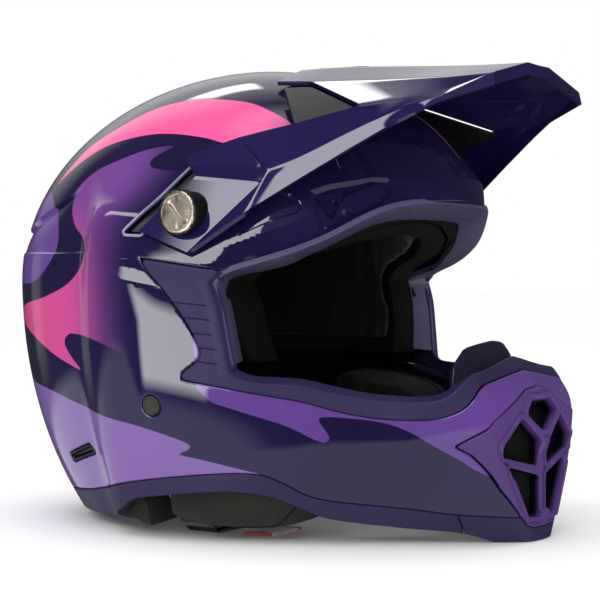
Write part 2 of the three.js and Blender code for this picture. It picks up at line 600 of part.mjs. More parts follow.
const pairs = [
  ["slot_vent", slotInsert(), BLACK_PLASTIC],
  ["rear_port", rearPort(), BLACK_PLASTIC],
  ["strap_anchor", anchorPlug(), BLACK_PLASTIC],
  ["chin_foam", chinFoam(), FOAM],
  ["cheek_foam", cheekFoam(), FOAM],
  ["cheek_pad", cheekPad(), FABRIC],
  ["pivot_washer", pivotWasher(), BLACK_PLASTIC],
  ["pivot_screw", pivotScrew(), STEEL],
  ["pivot_nut", pivotNut(), STEEL],
  ["chin_strap", chinStrap(), BLACK_PLASTIC],
  ["release_tab", releaseTab(), RED_WEBBING],
];

const helmet = new THREE.Group();
helmet.position.y = LENGTH_SHIFT;
for (const [name, body, look] of parts) helmet.add(meshOf(name, body, look));
for (const [name, body, look] of pairs) {
  helmet.add(meshOf(`${name}_right`, body, look));
  helmet.add(meshOf(`${name}_left`, mirrored(body), look));
}

export default helmet;
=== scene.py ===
"""Motocross helmet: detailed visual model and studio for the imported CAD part.

Curved pieces are cut from the helmet's form, a field that is zero on the painted surface. Their outlines are
those of the CAD part, in millimetres in the head frame (the wearer looks along -Y, z = 0 is the base).
"""
import math
from contextlib import contextmanager

import bmesh
import bpy
import numpy as np
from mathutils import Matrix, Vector


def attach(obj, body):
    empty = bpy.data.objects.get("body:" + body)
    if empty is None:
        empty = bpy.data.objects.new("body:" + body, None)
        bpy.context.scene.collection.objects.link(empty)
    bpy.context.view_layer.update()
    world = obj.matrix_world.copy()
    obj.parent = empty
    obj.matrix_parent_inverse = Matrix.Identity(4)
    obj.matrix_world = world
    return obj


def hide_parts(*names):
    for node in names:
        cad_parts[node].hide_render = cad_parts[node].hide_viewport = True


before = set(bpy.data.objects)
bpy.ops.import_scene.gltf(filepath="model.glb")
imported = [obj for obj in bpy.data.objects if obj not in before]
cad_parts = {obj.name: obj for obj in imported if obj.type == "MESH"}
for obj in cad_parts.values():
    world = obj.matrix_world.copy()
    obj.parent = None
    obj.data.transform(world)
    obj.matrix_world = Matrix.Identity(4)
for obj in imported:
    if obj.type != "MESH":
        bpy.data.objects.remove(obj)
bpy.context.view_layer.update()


def unit(vector):
    return np.array(vector, float) / np.linalg.norm(vector)


MM = 0.001
LENGTH_SHIFT = np.array([0.0, 22.0, 0.0])  # head frame to row frame
EYE = np.array([0.0, -20.0, 115.0])  # rays from here meet each curved surface once
RAY_SPAN = (10.0, 320.0)
GAP = 0.3  # seam between neighbouring pieces
SHELL_WALL = 3.7
SHELL_EDGE = 0.9  # radius of the shell's rolled edges
TRIM_RISE = 0.5  # the eyeport trim and the mouth vent stand this far out of the form
PIVOT = np.array([-38.8, 175.5])  # the side screws' y and z
PAD_NORMAL = unit([-0.904, -0.233, 0.359])  # the shell's flat under the peak's right arm
PAD_POINT = np.array([-116.0, PIVOT[0], PIVOT[1]])
ARM_RISE = 4.0  # the arm's end plate over that flat
PEAK_SHEET = 2.4
SIDE, FRONT = (1, 2), (0, 2)  # which coordinates an outline is drawn in
SIDES = ((1, "right"), (-1, "left"))  # pieces are made on the right, at negative x, and mirrored

# ---------------------------------------------------------------- the form
CRANIUM_CENTRE = np.array([0.0, -12.0, 138.0])
CRANIUM_RADII = {"half": 125.0, "front": 146.0, "back": 158.0, "up": 125.0, "down": 200.0}
BLEND = 22.0  # how softly the cranium meets the jaw
PAD_BLEND = 2.0
JAW_FACES = (  # normal, point on the face, how softly it meets the faces before it
    ((0.905, -0.427, 0.02), (56, -180, 52), 0),
    ((1, -0.05, -0.14), (119, -30, 70), 14),
    ((0.716, -0.475, -0.51), (57, -178, 50), 16),
    ((0.1, -0.99, 0), (0, -190, 50), 5),
    ((0.1, -0.66, 0.75), (0, -188, 82), 10),
    ((0, -0.35, 0.93), (0, -150, 118), 14),
    ((0, 1, 0), (0, 20, 0), 20),
)


def smooth_min(a, b, k):
    h = np.clip(0.5 + 0.5 * (b - a) / k, 0, 1)
    return b * (1 - h) + a * h - k * h * (1 - h)


def smooth_max(a, b, k):
    return -smooth_min(-a, -b, k)


def smooth_step(low, high, value):
    t = np.clip((value - low) / (high - low), 0, 1)
    return t * t * (3 - 2 * t)


def form_field(points):
    """About the distance to the helmet's outer surface, negative inside."""
    offset = points - CRANIUM_CENTRE
    r = CRANIUM_RADII
    radii = np.stack([
        np.full(len(points), r["half"]),
        np.where(offset[:, 1] < 0, r["front"], r["back"]),
        np.where(offset[:, 2] > 0, r["up"], r["down"]),
    ], 1)
    grown = np.maximum(np.linalg.norm(offset / radii, axis=1), 1e-6)
    cranium = np.linalg.norm(offset, axis=1) * (1 - 1 / grown)
    side = points * [1, 1, 1]
    side[:, 0] = np.abs(side[:, 0])
    jaw = None
    for normal, point, soft in JAW_FACES:
        height = (side - point) @ unit(normal)
        jaw = height if jaw is None else smooth_max(jaw, height, soft)
    mirrored = side * [-1, 1, 1]
    return smooth_max(smooth_min(cranium, jaw, BLEND), (mirrored - PAD_POINT) @ PAD_NORMAL, PAD_BLEND)


def form_normals(points, reach=0.4):
    steps = np.eye(3) * reach
    slopes = np.stack([form_field(points + step) - form_field(points - step) for step in steps], 1)
    return slopes / np.linalg.norm(slopes, axis=1, keepdims=True)


def on_form(points, offset=0.0, halvings=26):
    """Moves points along their rays from EYE to where the field has the given value."""
    rays = points - EYE
    rays = rays / np.linalg.norm(rays, axis=1, keepdims=True)
    near, far = (np.full(len(points), end) for end in RAY_SPAN)
    for _ in range(halvings):
        middle = (near + far) / 2
        inside = form_field(EYE + rays * middle[:, None]) < offset
        near = np.where(inside, middle, near)
        far = np.where(inside, far, middle)
    return EYE + rays * near[:, None]


# ---------------------------------------------------------------- triangle sheets
def ray_grid(count):
    """Directions over a whole sphere from the six faces of a cube, and outward-facing triangles."""
    side = np.tan(np.linspace(-math.pi / 4, math.pi / 4, count + 1))
    u, v = np.meshgrid(side, side, indexing="ij")
    one = np.ones_like(u)
    faces = ((one, u, v), (-one, v, u), (v, one, u), (u, -one, v), (u, v, one), (v, u, -one))
    points = np.concatenate([np.stack([c.ravel() for c in face], 1) for face in faces])
    points /= np.linalg.norm(points, axis=1, keepdims=True)
    i, j = np.meshgrid(np.arange(count), np.arange(count), indexing="ij")
    corner = (i * (count + 1) + j).ravel()
    a, b, c, d = corner, corner + count + 1, corner + count + 2, corner + 1
    cells = np.concatenate([np.stack([a, b, c], 1), np.stack([a, c, d], 1)])
    tris = np.concatenate([cells + k * (count + 1) ** 2 for k in range(6)])
    _, first, index = np.unique(np.round(points, 6), axis=0, return_index=True, return_inverse=True)
    return points[first], index.ravel()[tris]


def compact(points, tris):
    """Leaves out the points that no triangle uses."""
    used, index = np.unique(tris, return_inverse=True)
    return points[used], index.reshape(tris.shape)


def lone_first(rows, flags):
    """Turns each triangle so that its flagged corner comes first."""
    order = (flags.argmax(1)[:, None] + np.arange(3)) % 3
    return np.take_along_axis(rows, order, 1)


def cut(points, tris, value, both=False):
    """Keeps the part of a sheet where value is negative; with both, only adds an edge where it is zero."""
    inside = value < 0
    count = inside[tris].sum(1)
    one = lone_first(tris[count == 1], inside[tris[count == 1]])
    two = lone_first(tris[count == 2], ~inside[tris[count == 2]])
    mixed = np.concatenate([one, two])
    if not len(mixed):
        return compact(points, tris[(count == 3) | both])
    pairs = np.sort(np.concatenate([mixed[:, [0, 1]], mixed[:, [0, 2]]]), axis=1)
    edges, index = np.unique(pairs, axis=0, return_inverse=True)
    index = index.ravel() + len(points)
    gap = value[edges[:, 0]] - value[edges[:, 1]]
    share = np.clip(value[edges[:, 0]] / np.where(gap == 0, 1, gap), 0, 1)[:, None]
    fresh = points[edges[:, 0]] * (1 - share) + points[edges[:, 1]] * share
    ab, ac = index[:len(mixed)], index[len(mixed):]
    tip = np.stack([mixed[:, 0], ab, ac], 1)
    base = np.concatenate([
        np.stack([ab, mixed[:, 1], mixed[:, 2]], 1), np.stack([ab, mixed[:, 2], ac], 1)])
    lone_inside = np.arange(len(mixed)) < len(one)
    kept = [tris[count == 3], tip[lone_inside], base[np.tile(~lone_inside, 2)]]
    if both:
        kept += [tris[count == 0], tip[~lone_inside], base[np.tile(lone_inside, 2)]]
    return compact(np.concatenate([points, fresh]), np.concatenate(kept))


OUTLINE_STEP = 2.0


def rounded(points, corners=(), closed=True):
    """Polyline through points, curved (Catmull-Rom) except at the numbered corners."""
    points = np.array(points, float)
    count = len(points)
    corners = set(corners)
    if not closed:
        corners |= {0, count - 1}
    line = []
    for i in range(count if closed else count - 1):
        a, b = points[i], points[(i + 1) % count]
        before = a + (a - b) / 3 if i in corners else points[i - 1]
        after = b + (b - a) / 3 if (i + 1) % count in corners else points[(i + 2) % count]
        straight = {i, (i + 1) % count} <= corners
        steps = 1 if straight else max(1, int(np.linalg.norm(b - a) / OUTLINE_STEP))
        for t in np.arange(steps) / steps:
            line.append(0.5 * (2 * a + (b - before) * t + (2 * before - 5 * a + 4 * b - after) * t ** 2
                               + (3 * a - before - 3 * b + after) * t ** 3))
    if not closed:
        line.append(points[-1])
    return np.array(line)


def line_distance(line, flat, closed=True):
    """Distance from flat points to a polyline, and the unit direction away from its nearest point."""
    best = np.full(len(flat), np.inf)
    away = np.zeros_like(flat)
    ends = np.roll(line, -1, axis=0) if closed else line[1:]
    for a, b in zip(line, ends):
        along = b - a
        share = np.clip((flat - a) @ along / max(along @ along, 1e-12), 0, 1)
        delta = flat - a - share[:, None] * along
        size = np.einsum("ij,ij->i", delta, delta)
        nearer = size < best
        best = np.where(nearer, size, best)
        away[nearer] = delta[nearer]
    best = np.sqrt(best)
    return best, away / np.maximum(best, 1e-9)[:, None]


def is_inside(line, flat):
    """Which flat points a closed line goes round."""
    inside = np.zeros(len(flat), bool)
    for (u0, v0), (u1, v1) in zip(line, np.roll(line, -1, axis=0)):
        if v0 == v1:
            continue
        crosses = (v0 > flat[:, 1]) != (v1 > flat[:, 1])
        inside ^= crosses & (flat[:, 0] < (u1 - u0) * (flat[:, 1] - v0) / (v1 - v0) + u0)
    return inside


LEAST_FACING = 0.04  # keeps the stretch finite where the surface turns edge-on


def along_surface(distance, away, view, normals):
    """A distance seen in a flat view, stretched by how much the surface leans out of that view."""
    lean = normals[:, view[0]] * away[:, 0] + normals[:, view[1]] * away[:, 1]
    return distance / np.sqrt(np.maximum(1 - lean ** 2, LEAST_FACING))


def outline_distance(line, view, points, normals=None):
    """Signed distance to an outline, negative inside, measured along the surface if normals are given."""
    flat = points[:, view]
    distance, away = line_distance(line, flat)
    if normals is not None:
        distance = along_surface(distance, away, view, normals)
    return np.where(is_inside(line, flat), -distance, distance)


def refined(points, tris):
    """Splits every triangle into four."""
    pairs = np.sort(np.concatenate([tris[:, [0, 1]], tris[:, [1, 2]], tris[:, [2, 0]]]), axis=1)
    edges, index = np.unique(pairs, axis=0, return_inverse=True)
    ab, bc, ca = (index.ravel() + len(points)).reshape(3, -1)
    a, b, c = tris.T
    parts = [(a, ab, ca), (ab, b, bc), (ca, bc, c), (ab, bc, ca)]
    middles = (points[edges[:, 0]] + points[edges[:, 1]]) / 2
    return np.concatenate([points, middles]), np.concatenate([np.stack(part, 1) for part in parts])


NEAR = 9  # how far round an outline a sheet is kept while it is refined
ROUGH = 14  # halvings while refining


def sheet_of_form(levels, region, view=SIDE, offset=0.0, zone=None):
    """Sheet of the form near an outline, its cells about 5 mm, halved at each level."""
    points, tris = COARSE
    for level in range(levels + 1):
        if level:
            points, tris = refined(points, tris)
        points = on_form(points, offset, halvings=ROUGH)
        near = outline_distance(region, view, points) < NEAR
        if zone is not None:
            near &= zone(points) < NEAR
        points, tris = compact(points, tris[near[tris].any(1)])
    return on_form(points, offset), tris


def whole_form(count):
    rays, tris = ray_grid(count)
    return on_form(EYE + rays * 100), tris


COARSE = whole_form(44)


def trimmed(sheet, line, view, keep_inside, inset):
    """Cuts a sheet along an outline, leaving it short by inset, which the rounded rim then adds."""
    value = outline_distance(line, view, sheet[0], form_normals(sheet[0]))
    return cut(*sheet, value + inset if keep_inside else inset - value)


def boundary_edges(tris, count):
    """Edges that only one triangle has, in its own direction."""
    edges = np.concatenate([tris[:, [0, 1]], tris[:, [1, 2]], tris[:, [2, 0]]])
    keys = edges[:, 0] * count + edges[:, 1]
    return edges[~np.isin(edges[:, 1] * count + edges[:, 0], keys)]


def outward_at_boundary(points, edges, normals):
    """For each boundary vertex, the direction that leaves the sheet, longer at sharp corners."""
    along = points[edges[:, 1]] - points[edges[:, 0]]
    total = np.zeros_like(points)
    for end in (0, 1):
        leaving = np.cross(along, normals[edges[:, end]])
        leaving /= np.maximum(np.linalg.norm(leaving, axis=1, keepdims=True), 1e-9)
        np.add.at(total, edges[:, end], leaving)
    size = np.linalg.norm(total, axis=1, keepdims=True)
    return total / np.maximum(size, 1e-9) / np.clip(size / 2, 0.6, 1)


ROLL_STEPS, CORNER_STEPS = 4, 5  # straight parts in a rim's quarter round, and in an outline's corner


def roll(radius, depth, lean=0.0):
    """Rim section as (out, down) pairs: a quarter round, then a wall that leans out as it goes down."""
    turn = [math.pi / 2 * k / ROLL_STEPS for k in range(1, ROLL_STEPS + 1)]
    arc = [(radius * math.sin(a), radius * (1 - math.cos(a))) for a in turn]
    return arc + [(radius + lean, depth)]


def thick_sheet(points, tris, normals, section, wall, section_at=None):
    """Closes a sheet with a rounded rim and a back face. section_at picks another section per vertex."""
    count = len(points)
    edges = boundary_edges(tris, count)
    rim = np.unique(edges)
    outward = outward_at_boundary(points, edges, normals)
    sections = np.array([section] if section_at is None else [section, section_at[0]])
    choice = np.zeros(count, int) if section_at is None else section_at[1](points).astype(int)
    verts, faces = [points], [tris]
    last = np.arange(count)
    total = count
    for k in range(len(section)):
        out, down = sections[choice[rim], k].T
        ring = points[rim] + outward[rim] * out[:, None] - normals[rim] * down[:, None]
        here = np.full(count, -1)
        here[rim] = total + np.arange(len(rim))
        quads = np.stack([last[edges[:, 1]], last[edges[:, 0]], here[edges[:, 0]], here[edges[:, 1]]], 1)
        faces.append(quads)
        verts.append(ring)
        last = here
        total += len(rim)
    back = np.arange(count) + total
    verts.append(points - normals * wall)
    faces.append(tris[:, ::-1] + total)
    faces.append(np.stack([last[edges[:, 1]], last[edges[:, 0]], back[edges[:, 0]], back[edges[:, 1]]], 1))
    return np.concatenate(verts), faces


# ---------------------------------------------------------------- Blender objects
def placed(name, data):
    """A new object in the scene."""
    made = bpy.data.objects.new(name, data)
    bpy.context.scene.collection.objects.link(made)
    return made


def new_object(name, verts, faces, material=None):
    """An object from head-frame millimetres."""
    mesh = bpy.data.meshes.new(name)
    mesh.from_pydata(((np.asarray(verts) + LENGTH_SHIFT) * MM).tolist(), [], faces)
    if material:
        mesh.materials.append(material)
    return placed(name, mesh)


def sheet_object(name, sheet, material, join):
    """An object from a closed sheet whose faces come in arrays, points closer than join (mm) welded."""
    verts, blocks = sheet
    made = new_object(name, verts, [tuple(face) for block in blocks for face in block.tolist()], material)
    weld(made, join)
    return made


def set_material(made, material):
    made.data.materials.clear()
    made.data.materials.append(material)


@contextmanager
def edited(made):
    """The object's mesh as a bmesh, written back at the end."""
    work = bmesh.new()
    work.from_mesh(made.data)
    yield work
    work.to_mesh(made.data)
    work.free()


def weld(made, distance):
    """Joins points closer than distance (mm) and drops the slivers this leaves."""
    with edited(made) as work:
        bmesh.ops.remove_doubles(work, verts=work.verts, dist=distance * MM)
        bmesh.ops.dissolve_degenerate(work, edges=work.edges, dist=distance * MM * 0.2)


def facing_out(made):
    with edited(made) as work:
        bmesh.ops.recalc_face_normals(work, faces=work.faces)


def smooth(made, angle=32):
    made.data.shade_smooth()
    made.data.set_sharp_from_angle(angle=math.radians(angle))


def even_normals(made):
    """Large faces decide the shading, so slivers left by the cuts don't show."""
    modify(made, "WEIGHTED_NORMAL", mode="FACE_AREA", weight=50, keep_sharp=True)


def head_points(made):
    flat = np.zeros(len(made.data.vertices) * 3)
    made.data.vertices.foreach_get("co", flat)
    return flat.reshape(-1, 3) / MM - LENGTH_SHIFT


def set_points(made, points):
    made.data.vertices.foreach_set("co", ((points + LENGTH_SHIFT) * MM).ravel())
    made.data.update()


def set_attribute(made, name, values):
    attribute = made.data.attributes.new(name, "FLOAT", "POINT")
    attribute.data.foreach_set("value", np.asarray(values, np.float32))


def apply_modifiers(made):
    graph = bpy.context.evaluated_depsgraph_get()
    final = bpy.data.meshes.new_from_object(made.evaluated_get(graph))
    made.modifiers.clear()
    made.data = final


def modify(made, kind, **settings):
    """Adds one modifier and applies it."""
    modifier = made.modifiers.new(kind.title(), kind)
    for key, value in settings.items():
        setattr(modifier, key, value)
    apply_modifiers(made)


def round_edges(made, width, angle):
    """Bevels, by width (mm), the edges that turn by more than angle (degrees)."""
    modify(made, "BEVEL", width=width * MM, segments=2, limit_method="ANGLE",
           angle_limit=math.radians(angle))


CAD_WELD, SHEET_WELD, SHELL_WELD = 0.02, 0.04, 0.05


def bare_copy(node_name, name, material):
    """A welded copy of a CAD node in another material."""
    made = placed(name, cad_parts[node_name].data.copy())
    set_material(made, material)
    for key in [a.name for a in made.data.attributes if a.name.startswith("custom_normal")]:
        made.data.attributes.remove(made.data.attributes[key])
    weld(made, CAD_WELD)
    return made


def cad_copy(node_name, name, material, bevel, angle=32):
    """A finished copy of a CAD node, with rounded edges."""
    made = bare_copy(node_name, name, material)
    if bevel:
        round_edges(made, bevel, angle)
    smooth(made, angle)
    return made


def finish_piece(made, body, slot, *replaced):
    """Says which body a piece rides and which CAD nodes it stands for, and hides those; slot is not used."""
    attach(made, body)
    if replaced:
        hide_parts(*replaced)


# ---------------------------------------------------------------- materials
def set_inputs(tree, target, inputs):
    """Links sockets to, and sets plain values on, a node's inputs."""
    for key, value in inputs.items():
        if isinstance(value, bpy.types.NodeSocket):
            tree.links.new(value, target.inputs[key])
        else:
            target.inputs[key].default_value = value


def node(tree, kind, inputs, **settings):
    made = tree.nodes.new("ShaderNode" + kind)
    for key, value in settings.items():
        setattr(made, key, value)
    set_inputs(tree, made, inputs)
    return made


def blank(name):
    """A new material, its node tree and its shader."""
    made = bpy.data.materials.new(name)
    made.use_nodes = True
    tree = made.node_tree
    return made, tree, tree.nodes["Principled BSDF"]


def srgb(red, green, blue):
    """Linear colour from 0..255 display values."""
    def channel(value):
        value /= 255
        return value / 12.92 if value <= 0.04045 else ((value + 0.055) / 1.055) ** 2.4
    return (channel(red), channel(green), channel(blue), 1.0)


def scaled(colour, share, lift=0.0):
    """A colour made darker or lighter."""
    return tuple(min(1.0, c * share + lift) for c in colour[:3]) + (1.0,)


def object_point(tree):
    return node(tree, "TexCoord", {}).outputs["Object"]


def stored(tree, name):
    """A number kept on the mesh."""
    return node(tree, "Attribute", {}, attribute_name=name).outputs["Fac"]


def noise(tree, scale, detail=2.0, roughness=0.5):
    inputs = {"Vector": object_point(tree), "Scale": scale, "Detail": detail, "Roughness": roughness}
    return node(tree, "TexNoise", inputs).outputs["Fac"]


def ranged(tree, value, low, high, new_low, new_high):
    inputs = {"Value": value, "From Min": low, "From Max": high, "To Min": new_low, "To Max": new_high}
    return node(tree, "MapRange", inputs).outputs["Result"]


def mixed(tree, share, a, b, blend="MIX"):
    return node(tree, "Mix", {0: share, 6: a, 7: b}, data_type="RGBA", blend_type=blend).outputs[2]


def bump(tree, height, strength, distance_mm):
    inputs = {"Height": height, "Strength": strength, "Distance": distance_mm * MM}
    return node(tree, "Bump", inputs).outputs["Normal"]


def maths(tree, operation, a, b=0.0):
    return node(tree, "Math", {0: a, 1: b}, operation=operation).outputs[0]


NAVY = srgb(27, 17, 64)
DEEP = srgb(22, 13, 52)
PINK = srgb(255, 88, 152)
PINK_DEEP = srgb(204, 74, 140)
PURPLE = srgb(106, 64, 142)
LILAC = srgb(124, 92, 162)
CHIN_PURPLE = srgb(94, 62, 138)
REAR_PURPLE = srgb(100, 64, 142)
CROWN_END = srgb(176, 60, 150)
# painted shade: the near-black that the walls of openings turn to with depth
PAINTED_PIT_SHADE = (0.002, 0.0015, 0.003, 1)
HOLE_DARK = (0.002, 0.002, 0.002, 1)
PAINT_LINE = 0.12  # half the width over which one colour gives way to the next, in mm


def paint_material():
    """Gloss clear coat over the painted graphics; their outlines are distances stored on the mesh."""
    made, tree, shader = blank("paint_gloss")

    wash = noise(tree, 9.0, 3.0)
    colour = mixed(tree, ranged(tree, wash, 0.35, 0.65, 0, 1), NAVY, DEEP)
    field = mixed(tree, stored(tree, "warmth"), PURPLE, PINK_DEEP)
    field = mixed(tree, stored(tree, "heat"), field, PINK)
    field = mixed(tree, stored(tree, "shade"), field, colour)
    crown = mixed(tree, stored(tree, "crown_fade"), PINK, CROWN_END)
    for name, paint in (("field", field), ("crown_band", crown), ("rear_blob", REAR_PURPLE),
                        ("low_band", LILAC), ("chin_band", CHIN_PURPLE)):
        inside = ranged(tree, stored(tree, name), -PAINT_LINE, PAINT_LINE, 1, 0)
        colour = mixed(tree, inside, colour, paint)
    peel = noise(tree, 240.0, 1.0)
    fleck = noise(tree, 2600.0, 1.0)
    colour = mixed(tree, ranged(tree, fleck, 0.6, 0.8, 0, 0.012), colour, (1, 1, 1, 1), "ADD")
    set_inputs(tree, shader, {
        "Base Color": colour, "Roughness": ranged(tree, wash, 0.3, 0.7, 0.5, 0.6), "Metallic": 0.0,
        "Coat Weight": 1.0, "Coat Roughness": 0.015, "Coat IOR": 1.5, "Specular IOR Level": 0.05,
        "Normal": bump(tree, peel, 0.02, 0.4),
    })
    return made


VARY = 0.12  # how much a plastic's tone wanders


def plastic(name, colour, roughness, grain, strength, coat=0.0, depth=0.12, shine=0.45, pit_shade=False):
    """Moulded plastic: slight tone change, fine grain, uneven gloss; the last flag paints shade into the
    inside of openings, darker the deeper they go.
    """
    made, tree, shader = blank(name)
    wash = noise(tree, 14.0, 3.0)
    darker, lighter = scaled(colour, 1 - VARY), scaled(colour, 1 + VARY, 0.002)
    tone = mixed(tree, ranged(tree, wash, 0.3, 0.7, 0, 1), darker, lighter)
    if pit_shade:
        # painted shade: walls of openings go near-black with their depth below the surface
        tone = mixed(tree, ranged(tree, stored(tree, "sunk"), 0.6, 3.6, 0, 1), tone, PAINTED_PIT_SHADE)
    set_inputs(tree, shader, {
        "Base Color": tone,
        "Roughness": ranged(tree, noise(tree, 60.0), 0.3, 0.7, roughness - 0.04, roughness + 0.05),
        "Normal": bump(tree, noise(tree, grain, 2.0), strength, depth),
        "Coat Weight": coat, "Coat Roughness": 0.03, "Specular IOR Level": shine,
    })
    return made


def metal(name, colour, roughness, brush=0.0):
    """Satin metal with a fine grain and uneven gloss."""
    made, tree, shader = blank(name)
    fine = noise(tree, 1500.0, 2.0)
    set_inputs(tree, shader, {
        "Base Color": colour, "Metallic": 1.0,
        "Roughness": ranged(tree, noise(tree, 120.0), 0.3, 0.7, roughness - 0.05, roughness + 0.08),
        "Normal": bump(tree, fine, 0.15 + brush, 0.06),
    })
    return made


def foam_material(name, colour):
    """Moulded bead foam: closed cells about 3 mm across."""
    made, tree, shader = blank(name)
    cells = node(tree, "TexVoronoi", {"Vector": object_point(tree), "Scale": 330.0},
                 feature="DISTANCE_TO_EDGE")
    edge = ranged(tree, cells.outputs["Distance"], 0.0, 0.12, 0, 1)
    set_inputs(tree, shader, {
        "Base Color": mixed(tree, edge, scaled(colour, 0.55), colour), "Roughness": 0.88,
        "Normal": bump(tree, edge, 0.5, 0.35), "Specular IOR Level": 0.25,
    })
    return made


ABOVE = (0.030, 0.036)  # heights between which a pad's lower colour turns into its upper one, in m


def fabric(name, colour, weave, depth=0.25, sheen=0.12, mesh=False, above=None, loose=1.2):
    """Knitted lining: rows of stitches, a fuzzy sheen and worn, uneven tone, with painted shade between the
    stitches and a painted highlight on their tops; another colour higher up.
    """
    made, tree, shader = blank(name)
    at = object_point(tree)
    turned = node(tree, "VectorRotate", {"Vector": at, "Angle": 0.6, "Axis": (1, 0.4, 0.2)}).outputs[0]
    knit = {"Vector": turned, "Scale": weave / 3.14, "Distortion": loose, "Detail": 1.0, "Detail Scale": 2.0}
    rows = [node(tree, "TexWave", knit, bands_direction=way).outputs["Fac"] for way in "XYZ"]
    threads = maths(tree, "MULTIPLY", maths(tree, "ADD", *rows[:2]), maths(tree, "ADD", rows[2], 0.5))
    wash = noise(tree, 40.0, 4.0, 0.6)
    fuzz = noise(tree, 1400.0)
    height = maths(tree, "ADD", threads, maths(tree, "MULTIPLY", fuzz, 0.8))
    # painted shade in the dips of the knit and painted highlight on its raised loops
    tone = mixed(tree, ranged(tree, height, 0.3, 2.2, 0, 1), scaled(colour, 0.45), scaled(colour, 1.35))
    tone = mixed(tree, ranged(tree, wash, 0.3, 0.75, 0, 0.35), tone, colour)
    if above:
        height_up = node(tree, "SeparateXYZ", {0: at}).outputs[2]
        tone = mixed(tree, ranged(tree, height_up, *ABOVE, 0, 1), tone, above)
    if mesh:
        holes = node(tree, "TexVoronoi", {"Vector": at, "Scale": 520.0}, feature="F1").outputs["Distance"]
        tone = mixed(tree, ranged(tree, holes, 0.2, 0.42, 1, 0), tone, HOLE_DARK)
    set_inputs(tree, shader, {
        "Base Color": tone, "Roughness": 0.92, "Normal": bump(tree, height, 0.6, depth),
        "Sheen Weight": sheen, "Sheen Roughness": 0.5, "Specular IOR Level": 0.2,
    })
    return made


def webbing(name, colour, edge=None):
    """Woven strap: ribs across, herringbone along, with painted shade in the grooves and a painted highlight
    on the raised threads.
    """
    made, tree, shader = blank(name)
    at = object_point(tree)
    ribs = node(tree, "TexWave", {"Vector": at, "Scale": 420.0, "Distortion": 0.6}, bands_direction="X")
    rows = node(tree, "TexWave", {"Vector": at, "Scale": 520.0, "Distortion": 0.8}, bands_direction="Y")
    height = maths(tree, "MULTIPLY", ribs.outputs["Fac"], rows.outputs["Fac"])
    # painted shade in the grooves, the raised threads lighter as a painted highlight
    tone = mixed(tree, ranged(tree, height, 0.05, 0.7, 0, 1), scaled(colour, 0.5), colour)
    if edge:
        tone = mixed(tree, ranged(tree, stored(tree, "stripe"), -0.1, 0.1, 1, 0), tone, edge)
    set_inputs(tree, shader, {
        "Base Color": tone, "Roughness": 0.8, "Normal": bump(tree, height, 0.7, 0.3),
        "Sheen Weight": 0.3, "Sheen Roughness": 0.5, "Specular IOR Level": 0.3,
    })
    return made


PAINT = paint_material()
TRIM = plastic("trim_violet", srgb(48, 40, 76), 0.45, grain=1400.0, strength=0.1, depth=0.08, shine=0.2)
# the vent's openings get painted shade on their walls
VENT = plastic("vent_violet", srgb(84, 54, 120), 0.4, grain=1100.0, strength=0.06, depth=0.06, shine=0.3,
               pit_shade=True)
PEAK = plastic("peak_gloss", srgb(27, 17, 68), 0.5, grain=260.0, strength=0.01, coat=1.0, depth=0.3,
               shine=0.05)
BLACK = plastic("black_plastic", srgb(16, 15, 19), 0.4, grain=1300.0, strength=0.15, shine=0.3)
# painted highlight: a light lavender for the slot vents' frames, which are dark
PAINTED_HIGHLIGHT_EDGE = plastic("painted_highlight_edge", srgb(128, 120, 150), 0.25, grain=1200.0, strength=0.04)
NOSE = plastic("nose_rubber", srgb(30, 25, 48), 0.34, grain=1200.0, strength=0.06)
INNER = plastic("inner_frame", srgb(80, 72, 104), 0.3, grain=1200.0, strength=0.1)
OLIVE = plastic("plug_rubber", srgb(46, 47, 42), 0.6, grain=1500.0, strength=0.2)
STEEL = metal("ring_steel", srgb(196, 192, 186), 0.22)
SATIN = metal("screw_face", srgb(206, 192, 178), 0.34, brush=0.2)
FOAM = foam_material("bead_foam", srgb(14, 14, 15))
FILTER = foam_material("filter_foam", srgb(16, 16, 18))
KNIT = fabric("lining_knit", srgb(46, 46, 42), weave=1500.0, sheen=0.08, above=srgb(14, 14, 15), loose=14.0)
MESH_KNIT = fabric("lining_mesh", srgb(16, 16, 18), weave=1200.0, mesh=True, sheen=0.15)
PIPING = fabric("piping", srgb(20, 20, 22), weave=1600.0, depth=0.12)
BLACK_WEB = webbing("strap_webbing", srgb(24, 24, 27))
RED_WEB = webbing("red_webbing", srgb(255, 96, 90), edge=srgb(250, 246, 244))
THREAD = fabric("thread", srgb(90, 88, 92), weave=3000.0, depth=0.05)

# ---------------------------------------------------------------- outlines of the fixed pieces
BROW_EDGE = [(-230, 212), (-150, 187), (-130, 181), (-107, 163), (-83, 152.5), (-61, 145), (-55, 139)]
CHEEK_EDGE = [(-59, 127), (-61.5, 111), (-64, 95), (-66, 90.5), (-76, 87)]
CHIN_EDGE = [(-97, 85.7), (-114, 81.5), (-131, 78), (-152, 77.2), (-164, 80.5), (-170.5, 90), (-170.5, 99)]
TRIM_OUTER = [
    (-180, 103), (-177, 92), (-176, 80.5), (-170.5, 73), (-160, 68.4), (-148, 67.3), (-131, 68.1),
    (-114, 71.6), (-97, 76.8), (-73, 81.3), (-50, 85.5), (-38, 87.8), (-38.6, 91), (-46.3, 97),
    (-49.2, 101), (-47.9, 107), (-41, 120), (-29.7, 135), (-19.9, 146), (-16.5, 151.7),
]
EYEPORT = rounded(BROW_EDGE + CHEEK_EDGE + CHIN_EDGE + [(-230, 130)], corners=(0, 6, 18, 19))
TRIM_LINE = rounded(BROW_EDGE[-2:] + CHEEK_EDGE + CHIN_EDGE + TRIM_OUTER, corners=(0, 1, 13, 14, 33))
